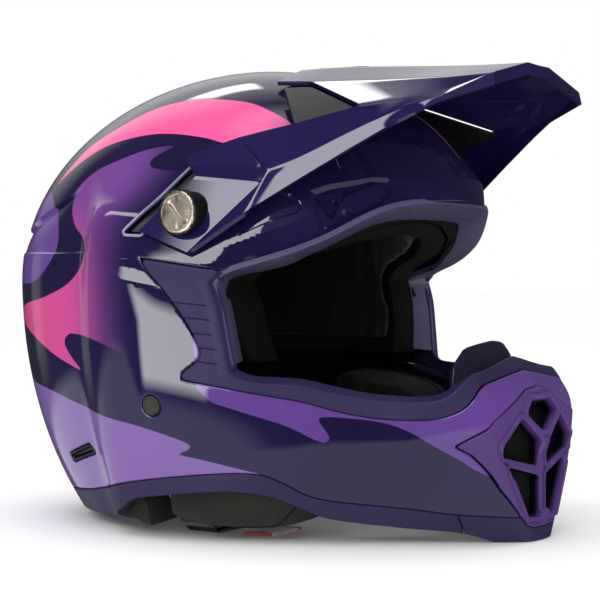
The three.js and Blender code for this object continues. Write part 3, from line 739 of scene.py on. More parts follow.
BASE_EDGE = [
    (-200, 0), (-172, 0), (-158, 5.2), (-132, 8.5), (-103, 13.7), (-91, 20), (-78, 25.7), (-59, 28),
    (-30, 25.5), (0, 21), (10, 15.5), (30, 7), (40, 5.5), (170, 4),
]
BASE_SEAM = [
    (170, 12), (61.5, 19.5), (1.5, 30.7), (-37.7, 36.2), (-61.3, 38.3), (-76.4, 37.6), (-86.7, 32.9),
    (-101.8, 24.8), (-140, 19.2), (-162, 15.6), (-200, 13.4),
]
BASE_BAND = rounded(BASE_EDGE + BASE_SEAM, corners=(0, 1, 12, 13, 14, 24))
BELOW_BASE = rounded([*reversed(BASE_SEAM), (170, -400), (-200, -400)], corners=(0, 10, 11, 12))
CHIN_SEAM_Y, SEAM_INSET = -160, 0.85  # where the chin's base trim meets those of the sides
VENT_HALF = [
    (0, 83.2), (-13, 81.8), (-50, 67.5), (-60, 53.5), (-55, 49), (-40, 30), (-18, 9.5), (-12, 7.8), (0, 7.8),
]
TOP_OPENING = [(-12.4, 76), (-20, 69), (-4.3, 59.6), (4.3, 59.6), (20, 69), (12.4, 76)]
SIDE_OPENING = [(-25, 67), (-44.5, 53), (-41, 47.5), (-6.5, 40.5), (-5, 54)]
LOWER_OPENING = [(-4.8, 35), (-37, 42), (-18, 14), (-4.8, 13)]
SLOT_VENT = [(-4.6, 165.6), (-13.5, 165.2), (-37.5, 193.5), (-34.2, 201.0)]
REAR_PORT = [(66, 41), (40, 49), (34, 43.5), (63, 35.5)]
ANCHOR = {"y": -18.5, "z": 73.2, "radius": 5.5}


def mirrored_outline(points):
    """A front-view outline from its half at negative x."""
    return points + [(-u, v) for u, v in reversed(points) if u != 0]


def circle(y, z, radius, count=40):
    turn = np.arange(count) / count * 2 * math.pi
    return np.stack([y + radius * np.cos(turn), z + radius * np.sin(turn)], 1)


def softened(points, radius):
    """Outline with each corner rounded to a radius, like a moulded edge."""
    points = np.array(points, float)
    line = []
    for before, at, after in zip(np.roll(points, 1, axis=0), points, np.roll(points, -1, axis=0)):
        to_before, to_after = before - at, after - at
        a, b = np.linalg.norm(to_before), np.linalg.norm(to_after)
        angle = math.acos(np.clip(to_before @ to_after / a / b, -1, 1))
        reach = min(radius / max(math.tan(angle / 2), 1e-3), a * 0.45, b * 0.45)
        start, end = at + to_before / a * reach, at + to_after / b * reach
        for t in np.linspace(0, 1, CORNER_STEPS + 1):
            line.append(start * (1 - t) ** 2 + 2 * at * t * (1 - t) + end * t ** 2)
    return np.array(line)


def grown(points, reach):
    """Outline pushed outwards by reach, corners rounded."""
    points = softened(points, 0.8)
    along = np.roll(points, -1, axis=0) - np.roll(points, 1, axis=0)
    out = np.stack([along[:, 1], -along[:, 0]], 1) / np.linalg.norm(along, axis=1, keepdims=True)
    area = np.sum(points[:, 0] * np.roll(points[:, 1], -1) - np.roll(points[:, 0], -1) * points[:, 1])
    return points + out * reach * np.sign(area)


VENT_LINE = softened(mirrored_outline(VENT_HALF), 1.6)

# ---------------------------------------------------------------- painted graphics, side view
CROWN_BAND = rounded([
    (82, 194), (71.3, 205.7), (59.7, 217), (41.1, 226.5), (18.6, 236.7), (0.9, 240.4), (-15.9, 241.1),
    (-42.5, 238), (-58.4, 232.6), (-73.6, 224.7), (-86, 214), (-70, 207), (-55, 211), (-43.1, 214.2),
    (-31.9, 217.2), (-10.2, 220.3), (10.7, 220.4), (39.1, 216), (62, 206.5)], corners=(0,))
FIELD = rounded([
    (-18.3, 213.6), (0, 212), (17.4, 207.6), (38.3, 200.7), (50.6, 190.9), (51.6, 182.3), (44.1, 171),
    (31, 162), (26.5, 156), (29.7, 149.4), (45.5, 137.9), (70.7, 130.6), (98, 126.8), (122, 122), (108, 115),
    (90, 108.6), (72, 101.8), (59.5, 97.1), (35.1, 89.4), (44.8, 97.6), (50.7, 105), (47.2, 109.3),
    (39.7, 110.5), (15.3, 107.2), (-10.3, 97.6), (-25.2, 89.4), (-53, 76.2), (-48, 84), (-62, 110),
    (-62, 170), (-45, 197), (-24.9, 198.6), (-7.7, 200.8), (-4.5, 206)],
    corners=(0, 8, 13, 18, 26, 27, 28, 29, 30))
REAR_BLOB = rounded([
    (86, 192), (76, 186), (66, 177.1), (59.5, 166), (59.2, 157), (64.2, 150.3), (75.9, 142.4), (91, 138.5),
    (112, 139), (128, 145), (138, 156), (137, 168), (124, 178), (104, 186)], corners=(0,))
LOW_BAND = rounded([
    (160, 96), (146, 95), (125, 89), (102.4, 81.5), (66.8, 76.4), (35.9, 69.7), (-6.1, 62.4), (-31, 56.2),
    (-39.8, 52.6), (-38.4, 50.2), (-30.8, 48), (-50, 44.3), (-74.7, 38.8), (-60, 0), (160, 0)],
    corners=(0, 12, 13, 14))
CHIN_BAND = rounded([
    (-46, 83), (-53.6, 76), (-87.6, 64.9), (-101, 57.8), (-107, 55.4), (-109.6, 57.2), (-107.2, 62.7),
    (-104.6, 67.6), (-109, 69), (-130.8, 66.6), (-144.5, 61.8), (-156.5, 53.8), (-168.5, 45.6),
    (-177.7, 38.6), (-230, 10), (-230, 130), (-46, 130)], corners=(0, 1, 14, 15, 16))
GRAPHICS = {"crown_band": CROWN_BAND, "field": FIELD, "rear_blob": REAR_BLOB, "low_band": LOW_BAND,
            "chin_band": CHIN_BAND}

# Creases, side view: the channel under the rear spoiler, and a wedge in front of it.
CHANNEL_LOW = np.array([(-60, 149), (-20, 149.6), (24.6, 154.8), (62.6, 154.8), (90, 155.5), (200, 157)])
CHANNEL_TOP = np.array([(-60, 214), (0, 207), (35.8, 197.1), (64.7, 184), (97, 174), (125, 169), (200, 168)])
WEDGE = np.array([(-60, 129.5), (-28.2, 135.3), (11.9, 142.8), (60, 150)])
BROW_BAND = 12.5  # width of the chamfer along the eyeport's top edge
BROW_LINE = rounded(BROW_EDGE[:-1], closed=False)


def above(line, points):
    """How far points are above a side-view line."""
    return points[:, 2] - np.interp(points[:, 1], line[:, 0], line[:, 1])


def brow_distance(points, normals):
    """Distance along the surface from the eyeport's top edge."""
    distance, away = line_distance(BROW_LINE, points[:, SIDE], closed=False)
    return along_surface(distance, away, SIDE, normals)


# Sunk features of the brow, front view, and of the temple, side view.
RECESS = [(-90.1, 186.7), (-82, 190.5), (-62.5, 194.7), (-55.7, 194.3), (-55.5, 187.8), (-63.8, 182.2),
          (-77, 174.1), (-89.6, 167.1), (-93.8, 165)]
PANEL = [(-80, 185.2), (-63.1, 192.6), (-57, 187.8), (-77, 175.1), (-82.9, 176.6)]
BROW_HOLE = [(-89.5, 185.6), (-88.8, 174), (-85.9, 174), (-82.5, 179.3), (-82.2, 184.6)]
BROW_STEPS = ((RECESS, 2.2, 1.6), (PANEL, -1.5, 1.0), (BROW_HOLE, 3.4, 0.8))  # outline, depth, wall
TEMPLE = [(-81.8, 187.2), (-87.8, 185.1), (-93.1, 181.3), (-94.6, 178.1), (-93.8, 175), (-81.3, 170.3),
          (-68.1, 163.5), (-55, 160), (-55, 188)]
TEMPLE_DEPTH, TEMPLE_WALL = 0.9, 1.2
BROW_BACK, TEMPLE_BACK = -70, -50  # they lie in front of these places along Y
FAR = 50  # a distance that keeps a point out of a local feature


def brow_outline(line, points):
    """Distance to a front-view outline repeated on both sides of the brow, far from it elsewhere."""
    folded = points * [1, 1, 1]
    folded[:, 0] = -np.abs(points[:, 0])
    return np.where(points[:, 1] < BROW_BACK, outline_distance(softened(line, 1.5), FRONT, folded), FAR)


def temple(points):
    """Distance to the temple's outline, far from it elsewhere."""
    return np.where(points[:, 1] < TEMPLE_BACK, outline_distance(softened(TEMPLE, 3), SIDE, points), FAR)


LEDGE = 1.0  # height over which a moulded step rises
WEDGE_HEIGHT, WEDGE_DEPTH = 8.0, 0.405
CREASES = ((CHANNEL_LOW, (0, LEDGE)), (CHANNEL_TOP, (-LEDGE, 0)), (WEDGE, (0, LEDGE, WEDGE_HEIGHT)))
CHANNEL_DEPTH, CHANNEL_DEEPER = 0.5, 2.3  # at its lower edge, and how much it gains towards its upper edge
RIDGE_RISE, RIDGE_HEIGHT = 0.45, 30  # the swell just under the channel
BROW_DEPTH = 5.2


def step_up(height):
    return np.clip(height / LEDGE, 0, 1)


def shell_relief(points, normals):
    """Height over the plain form. The pairs in smooth_step are places along Y where a feature fades."""
    y = points[:, 1]
    low, top, wedge = (above(line, points) for line in (CHANNEL_LOW, CHANNEL_TOP, WEDGE))
    share = np.clip(low / np.maximum(low - top, 1), 0, 1)
    channel = step_up(low) * step_up(-top) * (CHANNEL_DEPTH + CHANNEL_DEEPER * share ** 1.5)
    ridge = RIDGE_RISE * step_up(LEDGE - low) * np.clip(1 + low / RIDGE_HEIGHT, 0, 1)
    ridge = ridge * smooth_step(-26, 0, y)
    facet = step_up(wedge) * np.clip((WEDGE_HEIGHT - wedge) / (WEDGE_HEIGHT - LEDGE), 0, 1)
    brow = np.clip(1 - brow_distance(points, normals) / BROW_BAND, 0, 1)
    sunk = channel * smooth_step(14, 90, y) + WEDGE_DEPTH * facet * (1 - smooth_step(-8, 13, y))
    for line, depth, wall in BROW_STEPS:
        sunk += depth * np.clip(-brow_outline(line, points) / wall, 0, 1)
    sunk += TEMPLE_DEPTH * np.clip(-temple(points) / TEMPLE_WALL, 0, 1) * smooth_step(-58, -68, y)
    return ridge - sunk - BROW_DEPTH * brow * smooth_step(-52, -75, y)


VENT_BACK = -120  # the mouth vent's outline counts only in front of this


def open_shell():
    """The whole form less every opening, its triangles following the creases of the relief."""
    inset = GAP / 2 + SHELL_EDGE
    sheet = whole_form(100)
    for line in (EYEPORT, BELOW_BASE, TRIM_LINE):
        sheet = trimmed(sheet, line, SIDE, False, inset)
    vent = outline_distance(VENT_LINE, FRONT, sheet[0], form_normals(sheet[0]))
    sheet = cut(*sheet, np.where(sheet[0][:, 1] < VENT_BACK, inset - vent, -FAR))
    for line in (grown(SLOT_VENT, 0.4), softened(REAR_PORT, 2.0), circle(**ANCHOR)):
        sheet = trimmed(sheet, line, SIDE, False, inset)
    creases = [lambda p, a=line, h=height: above(a, p) - h
               for line, heights in CREASES for height in heights]
    creases += [lambda p: brow_distance(p, form_normals(p)) - BROW_BAND]
    creases += [lambda p, a=line, d=inset: brow_outline(a, p) + d
                for line, _, wall in BROW_STEPS for inset in (0, wall)]
    creases += [lambda p, d=inset: temple(p) + d for inset in (0, TEMPLE_WALL)]
    for crease in creases:
        sheet = cut(*sheet, crease(sheet[0]), both=True)
    return on_form(sheet[0]), sheet[1]


def shell():
    """The painted shell, with the fades of its graphics stored on the mesh."""
    points, tris = open_shell()
    normals = form_normals(points)
    raised = points + normals * shell_relief(points, normals)[:, None]
    sheet = thick_sheet(raised, tris, normals, roll(SHELL_EDGE, SHELL_WALL), SHELL_WALL)
    made = sheet_object("shell", sheet, PAINT, SHELL_WELD)
    at = head_points(made)
    y, z = at[:, 1], at[:, 2]
    start = 32 - 20 * smooth_step(165, 205, z)
    for name, line in GRAPHICS.items():
        set_attribute(made, name, outline_distance(line, SIDE, at))
    for name, share in (
        ("shade", smooth_step(start, start - 44, y)),
        ("heat", smooth_step(22, 66, y) * (1 - smooth_step(140, 168, z))),
        ("warmth", smooth_step(-10, 60, y) * (1 - 0.9 * smooth_step(140, 190, z))),
        ("crown_fade", smooth_step(-40, -95, y)),
    ):
        set_attribute(made, name, share)
    smooth(made, 24)
    even_normals(made)
    finish_piece(made, "helmet", "painted_shell", "outer_shell")


# ---------------------------------------------------------------- fixed trims cut from the form
def form_piece(name, material, line, view, offset, wall, edge=0.8, levels=2, cuts=(), relief=None,
               section=None, section_at=None, angle=30, mirror=False, zone=None, creases=()):
    """A piece of the form inside one outline, less the outlines in cuts, its triangles following creases."""
    sheet = sheet_of_form(levels, line, view, offset, zone)
    if zone is not None:
        sheet = cut(*sheet, zone(sheet[0]))
    sheet = trimmed(sheet, line, view, True, edge + GAP / 2)
    for other, other_view in cuts:
        sheet = trimmed(sheet, other, other_view, False, edge + GAP / 2)
    for crease in creases:
        sheet = cut(*sheet, crease(sheet[0]), both=True)
    points, tris = on_form(sheet[0], offset), sheet[1]
    normals = form_normals(points)
    if relief is not None:
        points = points + normals * relief(points, normals)[:, None]
    verts, blocks = thick_sheet(points, tris, normals, section or roll(edge, wall), wall, section_at)
    if mirror:
        verts, blocks = verts * [-1, 1, 1], [block[:, ::-1] for block in blocks]
    made = sheet_object(name, (verts, blocks), material, SHEET_WELD)
    smooth(made, angle)
    even_normals(made)
    return made


RIBS = (127.0, 119.6, 112.0, 104.5, 97.0)  # heights of the fine grooves in the side of the eyeport trim
RIB_HALF, RIB_DEPTH = 0.5, 0.55
INNER_LIP = 2.6  # the trim is deep within this distance of the eyeport


def rib_height(points, height):
    """How far points are above one groove, which slopes a little."""
    return points[:, 2] - height - 0.1 * (points[:, 1] + 50)


def trim_relief(points, normals):
    """The trim's inner lip stands proud of the band, and fine grooves cross its side."""
    inner = outline_distance(EYEPORT, SIDE, points, normals)
    groove = np.max([1 - np.abs(rib_height(points, z)) / RIB_HALF for z in RIBS], axis=0).clip(0, 1)
    return 0.5 * smooth_step(6.5, 2.5, inner) - RIB_DEPTH * groove * (inner > 5.4)


def eyeport_trim():
    creases = [lambda p, z=z, d=d: rib_height(p, z) - d for z in RIBS for d in (-RIB_HALF, 0, RIB_HALF)]
    made = form_piece("eyeport_band", TRIM, TRIM_LINE, SIDE, TRIM_RISE, 7.5, edge=1.1,
                      section=roll(1.1, 4.6),
                      section_at=(roll(1.1, 7.5, lean=2.4),
                                  lambda p: outline_distance(EYEPORT, SIDE, p) < INNER_LIP),
                      relief=trim_relief, zone=lambda p: p[:, 1] + 10, creases=creases)
    finish_piece(made, "helmet", "trim_rubber", "eyeport_trim")


def base_trims():
    chin = form_piece("chin_base", TRIM, BASE_BAND, SIDE, 0.0, 4.6, cuts=[(VENT_LINE, FRONT)],
                      zone=lambda p: p[:, 1] - CHIN_SEAM_Y + SEAM_INSET)
    finish_piece(chin, "helmet", "trim_rubber", "chin_trim")
    for sign, side in SIDES:
        made = form_piece(f"base_band_{side}", TRIM, BASE_BAND, SIDE, 0.0, 4.6, levels=1, mirror=sign < 0,
                          zone=lambda p: np.maximum(CHIN_SEAM_Y + SEAM_INSET - p[:, 1], p[:, 0] + 1))
        finish_piece(made, "helmet", "trim_rubber", f"base_trim_{side}")


VENT_LIP, VENT_GROOVE = 2.5, (2.9, 3.3, 3.7, 4.2)  # distances from an opening
VENT_BORDER = (7.5, 9.5)  # distances in from the outline between which the lower part sinks
LIP_RISE, GROOVE_DEPTH, BORDER_DEPTH = 0.9, 0.5, 2.2


def mouth_vent():
    """The vent frame in the chin bar: a raised lip and a groove round each of its five openings."""
    openings = [softened(TOP_OPENING, 2.0)]
    for outline in (SIDE_OPENING, LOWER_OPENING):
        openings += [softened(outline, 2.0), softened(outline, 2.0) * [-1, 1]]

    def from_openings(points):
        return np.min([outline_distance(line, FRONT, points) for line in openings], axis=0)

    def from_border(points, normals):
        return outline_distance(VENT_LINE, FRONT, points, normals)

    def relief(points, normals):
        distance = from_openings(points)
        lip = LIP_RISE * (1 - smooth_step(VENT_LIP, VENT_GROOVE[0], distance))
        groove = smooth_step(2.9, 3.2, distance) * smooth_step(4.2, 3.6, distance)
        border = smooth_step(-VENT_BORDER[0], -VENT_BORDER[1], from_border(points, normals))
        return lip - GROOVE_DEPTH * groove - BORDER_DEPTH * border * smooth_step(54, 46, points[:, 2])

    creases = [lambda p, d=d: from_openings(p) - d for d in (VENT_LIP, *VENT_GROOVE)]
    creases += [lambda p, d=d: from_border(p, form_normals(p)) + d for d in VENT_BORDER]
    made = form_piece("muzzle_vent", VENT, VENT_LINE, FRONT, TRIM_RISE, 6.0, edge=0.9, levels=3,
                      cuts=[(line, FRONT) for line in openings] + [(TRIM_LINE, SIDE)], relief=relief,
                      section=roll(0.9, 3.4), creases=creases, zone=lambda p: p[:, 1] + 140,
                      section_at=(roll(0.9, 6.0, lean=0.5), lambda p: from_openings(p) < VENT_LIP))
    at = head_points(made)
    # depth below the form beside the openings, which the vent material turns into painted shade
    set_attribute(made, "sunk", -form_field(at) * (from_openings(at) < 3.5))
    finish_piece(made, "helmet", "vent_plastic", "mouth_vent")


def dished(line, depth, start, end):
    """A relief that sinks by depth between two distances in from an outline."""
    return lambda p, n: -depth * smooth_step(start, end, -outline_distance(line, SIDE, p, n))


def side_inserts():
    """Slot vents with their frames coloured light as a painted highlight, rear ports and strap anchor plugs,
    right and left.
    """
    slot, port, plug = softened(SLOT_VENT, 1.0), softened(REAR_PORT, 1.6), circle(**ANCHOR)
    inserts = (  # piece, material, outline, height over the form, wall, edge, the rest; slot, CAD node
        ("slot_insert", BLACK, slot, -2.4, 3.0, 0.5, {}, "black_plastic", "slot_vent"),
        # the slot frame's light colour is a painted highlight
        ("slot_frame", PAINTED_HIGHLIGHT_EDGE, grown(SLOT_VENT, 2.3), 0.8, 2.4, 0.3,
         {"cuts": [(grown(SLOT_VENT, 0.6), SIDE)]}, "painted_shell", None),
        ("rear_grille", BLACK, port, 0.3, 3.0, 0.9, {"relief": dished(port, 2.2, 1.6, 2.6)},
         "black_plastic", "rear_port"),
        ("anchor_plug", OLIVE, plug, 0.5, 3.0, 0.8, {"relief": dished(plug, 0.5, 1.2, 1.7)},
         "black_plastic", "strap_anchor"),
    )
    for sign, side in SIDES:
        for piece, material, line, offset, wall, edge, more, slot_name, node_name in inserts:
            reach = 20 if piece == "rear_grille" else 60
            made = form_piece(f"{piece}_{side}", material, line, SIDE, offset, wall, edge=edge, levels=3,
                              mirror=sign < 0, zone=lambda p: p[:, 0] + reach, **more)
            finish_piece(made, "helmet", slot_name, *([f"{node_name}_{side}"] if node_name else []))


# ---------------------------------------------------------------- the peak
PEAK_POINTS = {  # the right half's control points
    "lipCentre": (0, -186, 256), "lipFacet": (-13.7, -186, 256.3), "lipEnd": (-56, -186, 246.8),
    "lipCentreLow": (0, -187, 249.5), "lipFacetLow": (-13.7, -187, 249.6), "lipEndLow": (-57.5, -187, 240),
    "ridge1": (0, -160, 257.6), "ridge2": (0, -120, 260), "ridge3": (0, -78, 262.4),
    "ridge4": (0, -54, 262.1), "roof1": (-28, -160, 254.6), "roof2": (-29, -120, 257),
    "roof3": (-30, -78, 259.4), "roof4": (-30, -54, 259.1),
    "crease1": (-57, -160, 246), "crease2": (-56, -120, 246.8), "crease3": (-55, -76, 248.8),
    "crease4": (-54, -53, 250.4),
    "top1": (-64, -165, 238.6), "top2": (-73, -142.5, 234.2), "top3": (-82, -123, 231),
    "top4": (-91, -91, 223), "top5": (-100, -59, 215.9), "top6": (-109.5, -30.2, 206.4),
    "mid1": (-69, -163.5, 235), "mid2": (-78, -144, 229.4), "mid3": (-90.5, -121, 217),
    "mid4": (-102, -97.7, 203.3), "mid5": (-110, -83, 197.5),
    "low1": (-70, -162.5, 232), "low2": (-80.2, -146.5, 223.6), "low3": (-93.0, -122.0, 207.8),
    "low4": (-104.6, -99.6, 192.8), "low5": (-117.5, -72.7, 174.7),
}
PLATE = {  # (y, z, height over the shell's flat)
    "plate_top": (-39.2, 195.2, ARM_RISE), "plate_front": (-75.5, 191.6, ARM_RISE),
    "plate_bottom": (-44, 154.5, ARM_RISE), "plate_back": (-14.6, 166.2, ARM_RISE),
    "ledge_back": (-35.5, 201.0, 6.0), "ledge_front": (-78, 199.2, 7.4),
}
SHARP = ("plate", "ledge", "low", "lip", "top6")
BOX_FACES = ((0, 1, 3, 2), (4, 6, 7, 5), (0, 4, 5, 1), (2, 3, 7, 6), (0, 2, 6, 4), (1, 5, 7, 3))
# The sunk pocket for the crown screw; its floor is a radius about the pivot.
POCKET = {"half": 8.0, "wall": 2.0, "floor": 86.0, "back": -55.0, "front": -85.7}
SLOT_HALF = 3.0  # half the width of the crown screw's slot
SPINE = ((-120, -78, -53), (259.4, 261.8, 261.1))  # along Y, and the height of the pocket's walls there
PEAK_FACES = """
lipCentre ridge1 roof1 lipFacet|lipFacet roof1 crease1 lipEnd|ridge1 ridge2 roof2 roof1
roof1 roof2 crease2 crease1|ridge2 ridge3 roof3 roof2|roof2 roof3 crease3 crease2
ridge3 ridge4 roof4 roof3|roof3 roof4 crease4 crease3
lipEnd crease1 top1|crease1 crease2 top2 top1|crease2 crease3 top3 top2
lipEnd top1 mid1|top1 top2 mid2 mid1|top2 top3 mid3 mid2|top3 top4 mid4 mid3|top4 top5 mid5 mid4
lipEnd mid1 low1 lipEndLow|mid1 mid2 low2 low1|mid2 mid3 low3 low2|mid3 mid4 low4 low3|mid4 mid5 low5 low4
mid5 top5 ledge_front|top5 top6 ledge_back ledge_front|ledge_front ledge_back plate_top plate_front
mid5 ledge_front plate_front|mid5 plate_front low5|plate_front plate_bottom low5
plate_front plate_top plate_back plate_bottom
lipCentre lipFacet lipFacetLow lipCentreLow|lipFacet lipEnd lipEndLow lipFacetLow
"""


def on_plate(y, z, rise):
    """The point over the shell's flat with a given y and z."""
    n = PAD_NORMAL
    x = PAD_POINT[0] + (rise - n[1] * (y - PAD_POINT[1]) - n[2] * (z - PAD_POINT[2])) / n[0]
    return (x, y, z)


BENT = math.radians(7)  # edges that turn by more than this are creased
BENT_CREASE, RIM_CREASE = 0.72, 0.8


def peak_cage():
    """Control points of both halves, the faces between them and the numbers of the sharp points."""
    points = PEAK_POINTS | {name: on_plate(*place) for name, place in PLATE.items()}
    names = list(points)
    verts = [points[name] for name in names]
    mirror = {}
    for i, (x, y, z) in enumerate(points.values()):
        mirror[i] = len(verts) if x else i
        if x:
            verts.append((-x, y, z))
    faces = []
    for line in PEAK_FACES.strip().replace("\n", "|").split("|"):
        face = [names.index(name) for name in line.split()]
        faces += [tuple(face), tuple(mirror[i] for i in reversed(face))]
    sharp = {i for i, name in enumerate(names) if name.startswith(SHARP)}
    return verts, faces, sharp | {mirror[i] for i in sharp}


def peak():
    """The visor: a creased, subdivided cage given thickness, with the pocket cut into its spine."""
    verts, faces, sharp = peak_cage()
    made = new_object("peak_visor", verts, faces, PEAK)
    with edited(made) as work:
        crease = work.edges.layers.float.new("crease_edge")
        point_crease = work.verts.layers.float.new("crease_vert")
        for edge in work.edges:
            hard = edge.is_boundary or all(v.index in sharp for v in edge.verts)
            edge[crease] = 1.0 if hard else BENT_CREASE if edge.calc_face_angle(0) > BENT else 0.0
        for vert in work.verts:
            if vert.is_boundary:
                vert[point_crease] = RIM_CREASE
    modify(made, "SUBSURF", levels=4, render_levels=4, boundary_smooth="PRESERVE_CORNERS")
    modify(made, "SOLIDIFY", thickness=PEAK_SHEET * MM, offset=-1, use_even_offset=True, use_rim=True)
    round_edges(made, 0.55, 60)
    weld(made, CAD_WELD)
    smooth(made, 28)
    half = POCKET["half"]
    low, high = (-half, POCKET["front"] + POCKET["wall"], 252), (half, POCKET["back"], 270)
    cut_away(made, cutter_box(low, high))
    finish_piece(made, "peak", "peak_plastic", "peak")


def cutter_box(low, high):
    x, y, z = zip(low, high)
    verts = [(a, b, c) for a in x for b in y for c in z]
    return new_object("cutter", verts, BOX_FACES)


def cut_away(made, tool):
    modify(made, "BOOLEAN", object=tool, operation="DIFFERENCE", solver="EXACT")
    bpy.data.objects.remove(tool)


def swept(sections):
    """Faces round four-sided rings, one after another, closed at both ends; sections counts the rings."""
    around = [(i + k, i + (k + 1) % 4, i + 4 + (k + 1) % 4, i + 4 + k)
              for i in range(0, 4 * (sections - 1), 4) for k in range(4)]
    last = 4 * (sections - 1)
    return around + [(3, 2, 1, 0), (last, last + 1, last + 2, last + 3)]


def slide_pocket():
    """The tub in the peak's spine: walls, and a sunk floor curved about the pivot, slotted for the screw."""
    half, wall = POCKET["half"], POCKET["wall"]
    places = np.linspace(POCKET["front"], POCKET["back"] + wall, 13)
    verts, faces = [], []
    for x0, x1, is_wall in ((-half - wall, -half, True), (-half, -SLOT_HALF, False),
                            (SLOT_HALF, half, False), (half, half + wall, True)):
        faces += [tuple(i + len(verts) for i in face) for face in swept(len(places))]
        for y in places:
            low = PIVOT[1] + math.sqrt(POCKET["floor"] ** 2 - (y - PIVOT[0]) ** 2)
            high = np.interp(y, *SPINE) if is_wall else low + PEAK_SHEET
            verts += [(x0, y, low), (x1, y, low), (x1, y, high), (x0, y, high)]
    made = new_object("peak_pocket", verts, faces, PEAK)
    facing_out(made)
    round_edges(made, 0.35, 50)
    smooth(made, 30)
    finish_piece(made, "peak", "peak_plastic")


def lathe(name, profile, material, sides=72):
    """Solid of revolution about X; profile is (radius, x) from one end to the other, both on the axis."""
    turns = [2 * math.pi * k / sides for k in range(sides)]
    verts = [(x, radius * math.cos(turn), radius * math.sin(turn))
             for radius, x in profile[1:-1] for turn in turns]
    pairs = [(k, (k + 1) % sides) for k in range(sides)]
    last = len(verts) - sides
    faces = [(i + a, i + b, i + b + sides, i + a + sides) for i in range(0, last, sides) for a, b in pairs]
    faces += [(b, a, len(verts)) for a, b in pairs]
    faces += [(last + a, last + b, len(verts) + 1) for a, b in pairs]
    verts += [(profile[0][1], 0, 0), (profile[-1][1], 0, 0)]
    made = new_object(name, verts, faces, material)
    facing_out(made)
    return made


def at_pivot(made, sign):
    """Carries a piece made on the X axis to the right or left pivot."""
    points = head_points(made) + [0, *PIVOT]
    if sign < 0:
        points[:, 0] *= -1
        made.data.flip_normals()
    set_points(made, points)
    return made


def turned(points, angle):
    """Points turned about the X axis."""
    x, y, z = points.T
    across, along = math.cos(angle), math.sin(angle)
    return np.stack([x, y * across - z * along, y * along + z * across], 1)


# Profiles of the right side screw's parts, as (radius, x) from the axis out and back to it.
DISC = [(0, -106), (3, -106), (3, -125.7), (10.9, -125.7), (11.4, -126), (11.4, -128.7), (11.2, -129.0),
        (10.6, -129.3), (0, -129.3)]
FACE_GROOVE = [(0, -129.5), (9.4, -129.5), (9.4, -129.05), (8.9, -129.05), (8.9, -129.4), (0, -129.4)]
RIM = [(0, -124.2), (12.2, -124.2), (12.2, -128.2), (11.9, -128.5), (11.5, -128.6), (11.5, -125.9),
       (3.3, -125.9), (3.2, -125.8), (0, -125.6)]
SPACER = [(0, -100), (11.0, -100), (11.4, -100.4), (11.4, -124.8), (11.0, -125.4), (0, -125.4)]
NOTCH = [(0, -140), (1.1, -140), (1.1, -126.8), (0, -126.6)]
NOTCHES, NOTCH_CIRCLE, FIRST_NOTCH = 12, 11.9, 8  # how many, on what radius, and the first one's angle
COIN_SLOT = ((-140, -6.6, -0.9), (-127.9, 6.6, 0.9))
SLOT_ANGLE = 48.0


def pivot_sets():
    """Each side screw: a satin disc with a coin slot, a turned ring and a notched rim, on a black washer."""
    for sign, side in SIDES:
        disc = lathe(f"pivot_disc_{side}", DISC, SATIN)
        for k in range(NOTCHES):
            turn = math.radians(360 / NOTCHES * k + FIRST_NOTCH)
            notch = lathe("cutter", NOTCH, SATIN, 20)
            centre = NOTCH_CIRCLE * np.array([0, math.cos(turn), math.sin(turn)])
            set_points(notch, head_points(notch) + centre)
            cut_away(disc, notch)
        slot = cutter_box(*COIN_SLOT)
        set_points(slot, turned(head_points(slot), math.radians(SLOT_ANGLE)))
        cut_away(disc, slot)
        cut_away(disc, lathe("cutter", FACE_GROOVE, SATIN))
        round_edges(disc, 0.14, 40)
        ring = lathe(f"pivot_ring_{side}", RIM, BLACK)
        spacer = lathe(f"pivot_spacer_{side}", SPACER, BLACK)
        for made, body, slot_name, replaced in (
            (disc, f"{side}_screw", "screw_metal", [f"pivot_screw_{side}"]),
            (ring, f"{side}_screw", "black_plastic", []),
            (spacer, "peak", "black_plastic", [f"pivot_washer_{side}"]),
        ):
            smooth(made, 30)
            finish_piece(at_pivot(made, sign), body, slot_name, *replaced)


NOSE_LINE = [(0, 109), (-24, 107), (-36, 101), (-43, 90), (-45, 75), (0, 75)]


NOSE_STEPS, STEP_WIDTH, STEP_RISE = (86.0, 95.0), 0.9, 0.9
STEP_SAG, NOSE_CURVE = 0.006, 0.0095  # both per square mm away from the middle
NOSE_FOOT, NOSE_LEAN = -173.0, 0.62


def step_level(points):
    """Height along the lip's steps, which droop towards the cheeks."""
    return points[:, 2] + STEP_SAG * points[:, 0] ** 2


def nose_bridge():
    """Curved nose lip above the chin bar: two steps, leaning back as it rises."""
    def stepped(points, normals):
        x, y, z = points.T
        steps = sum(smooth_step(level, level + STEP_WIDTH, step_level(points)) for level in NOSE_STEPS)
        wanted = NOSE_FOOT + NOSE_LEAN * np.clip(z - 84, 0, None) + NOSE_CURVE * x ** 2
        wanted += 1.2 * smooth_step(102, 111, z) - STEP_RISE * steps
        return (wanted - y) / np.minimum(normals[:, 1], -0.5)

    creases = [lambda p, h=h: step_level(p) - h
               for level in NOSE_STEPS for h in (level, level + STEP_WIDTH)]
    line = softened(mirrored_outline(NOSE_LINE), 4.0)
    made = form_piece("nose_bridge", NOSE, line, FRONT, -1.2, 3.4, edge=1.4,
                      zone=lambda p: p[:, 1] + 120, relief=stepped, angle=24, creases=creases)
    finish_piece(made, "helmet", "nose_rubber", "nose_guard")


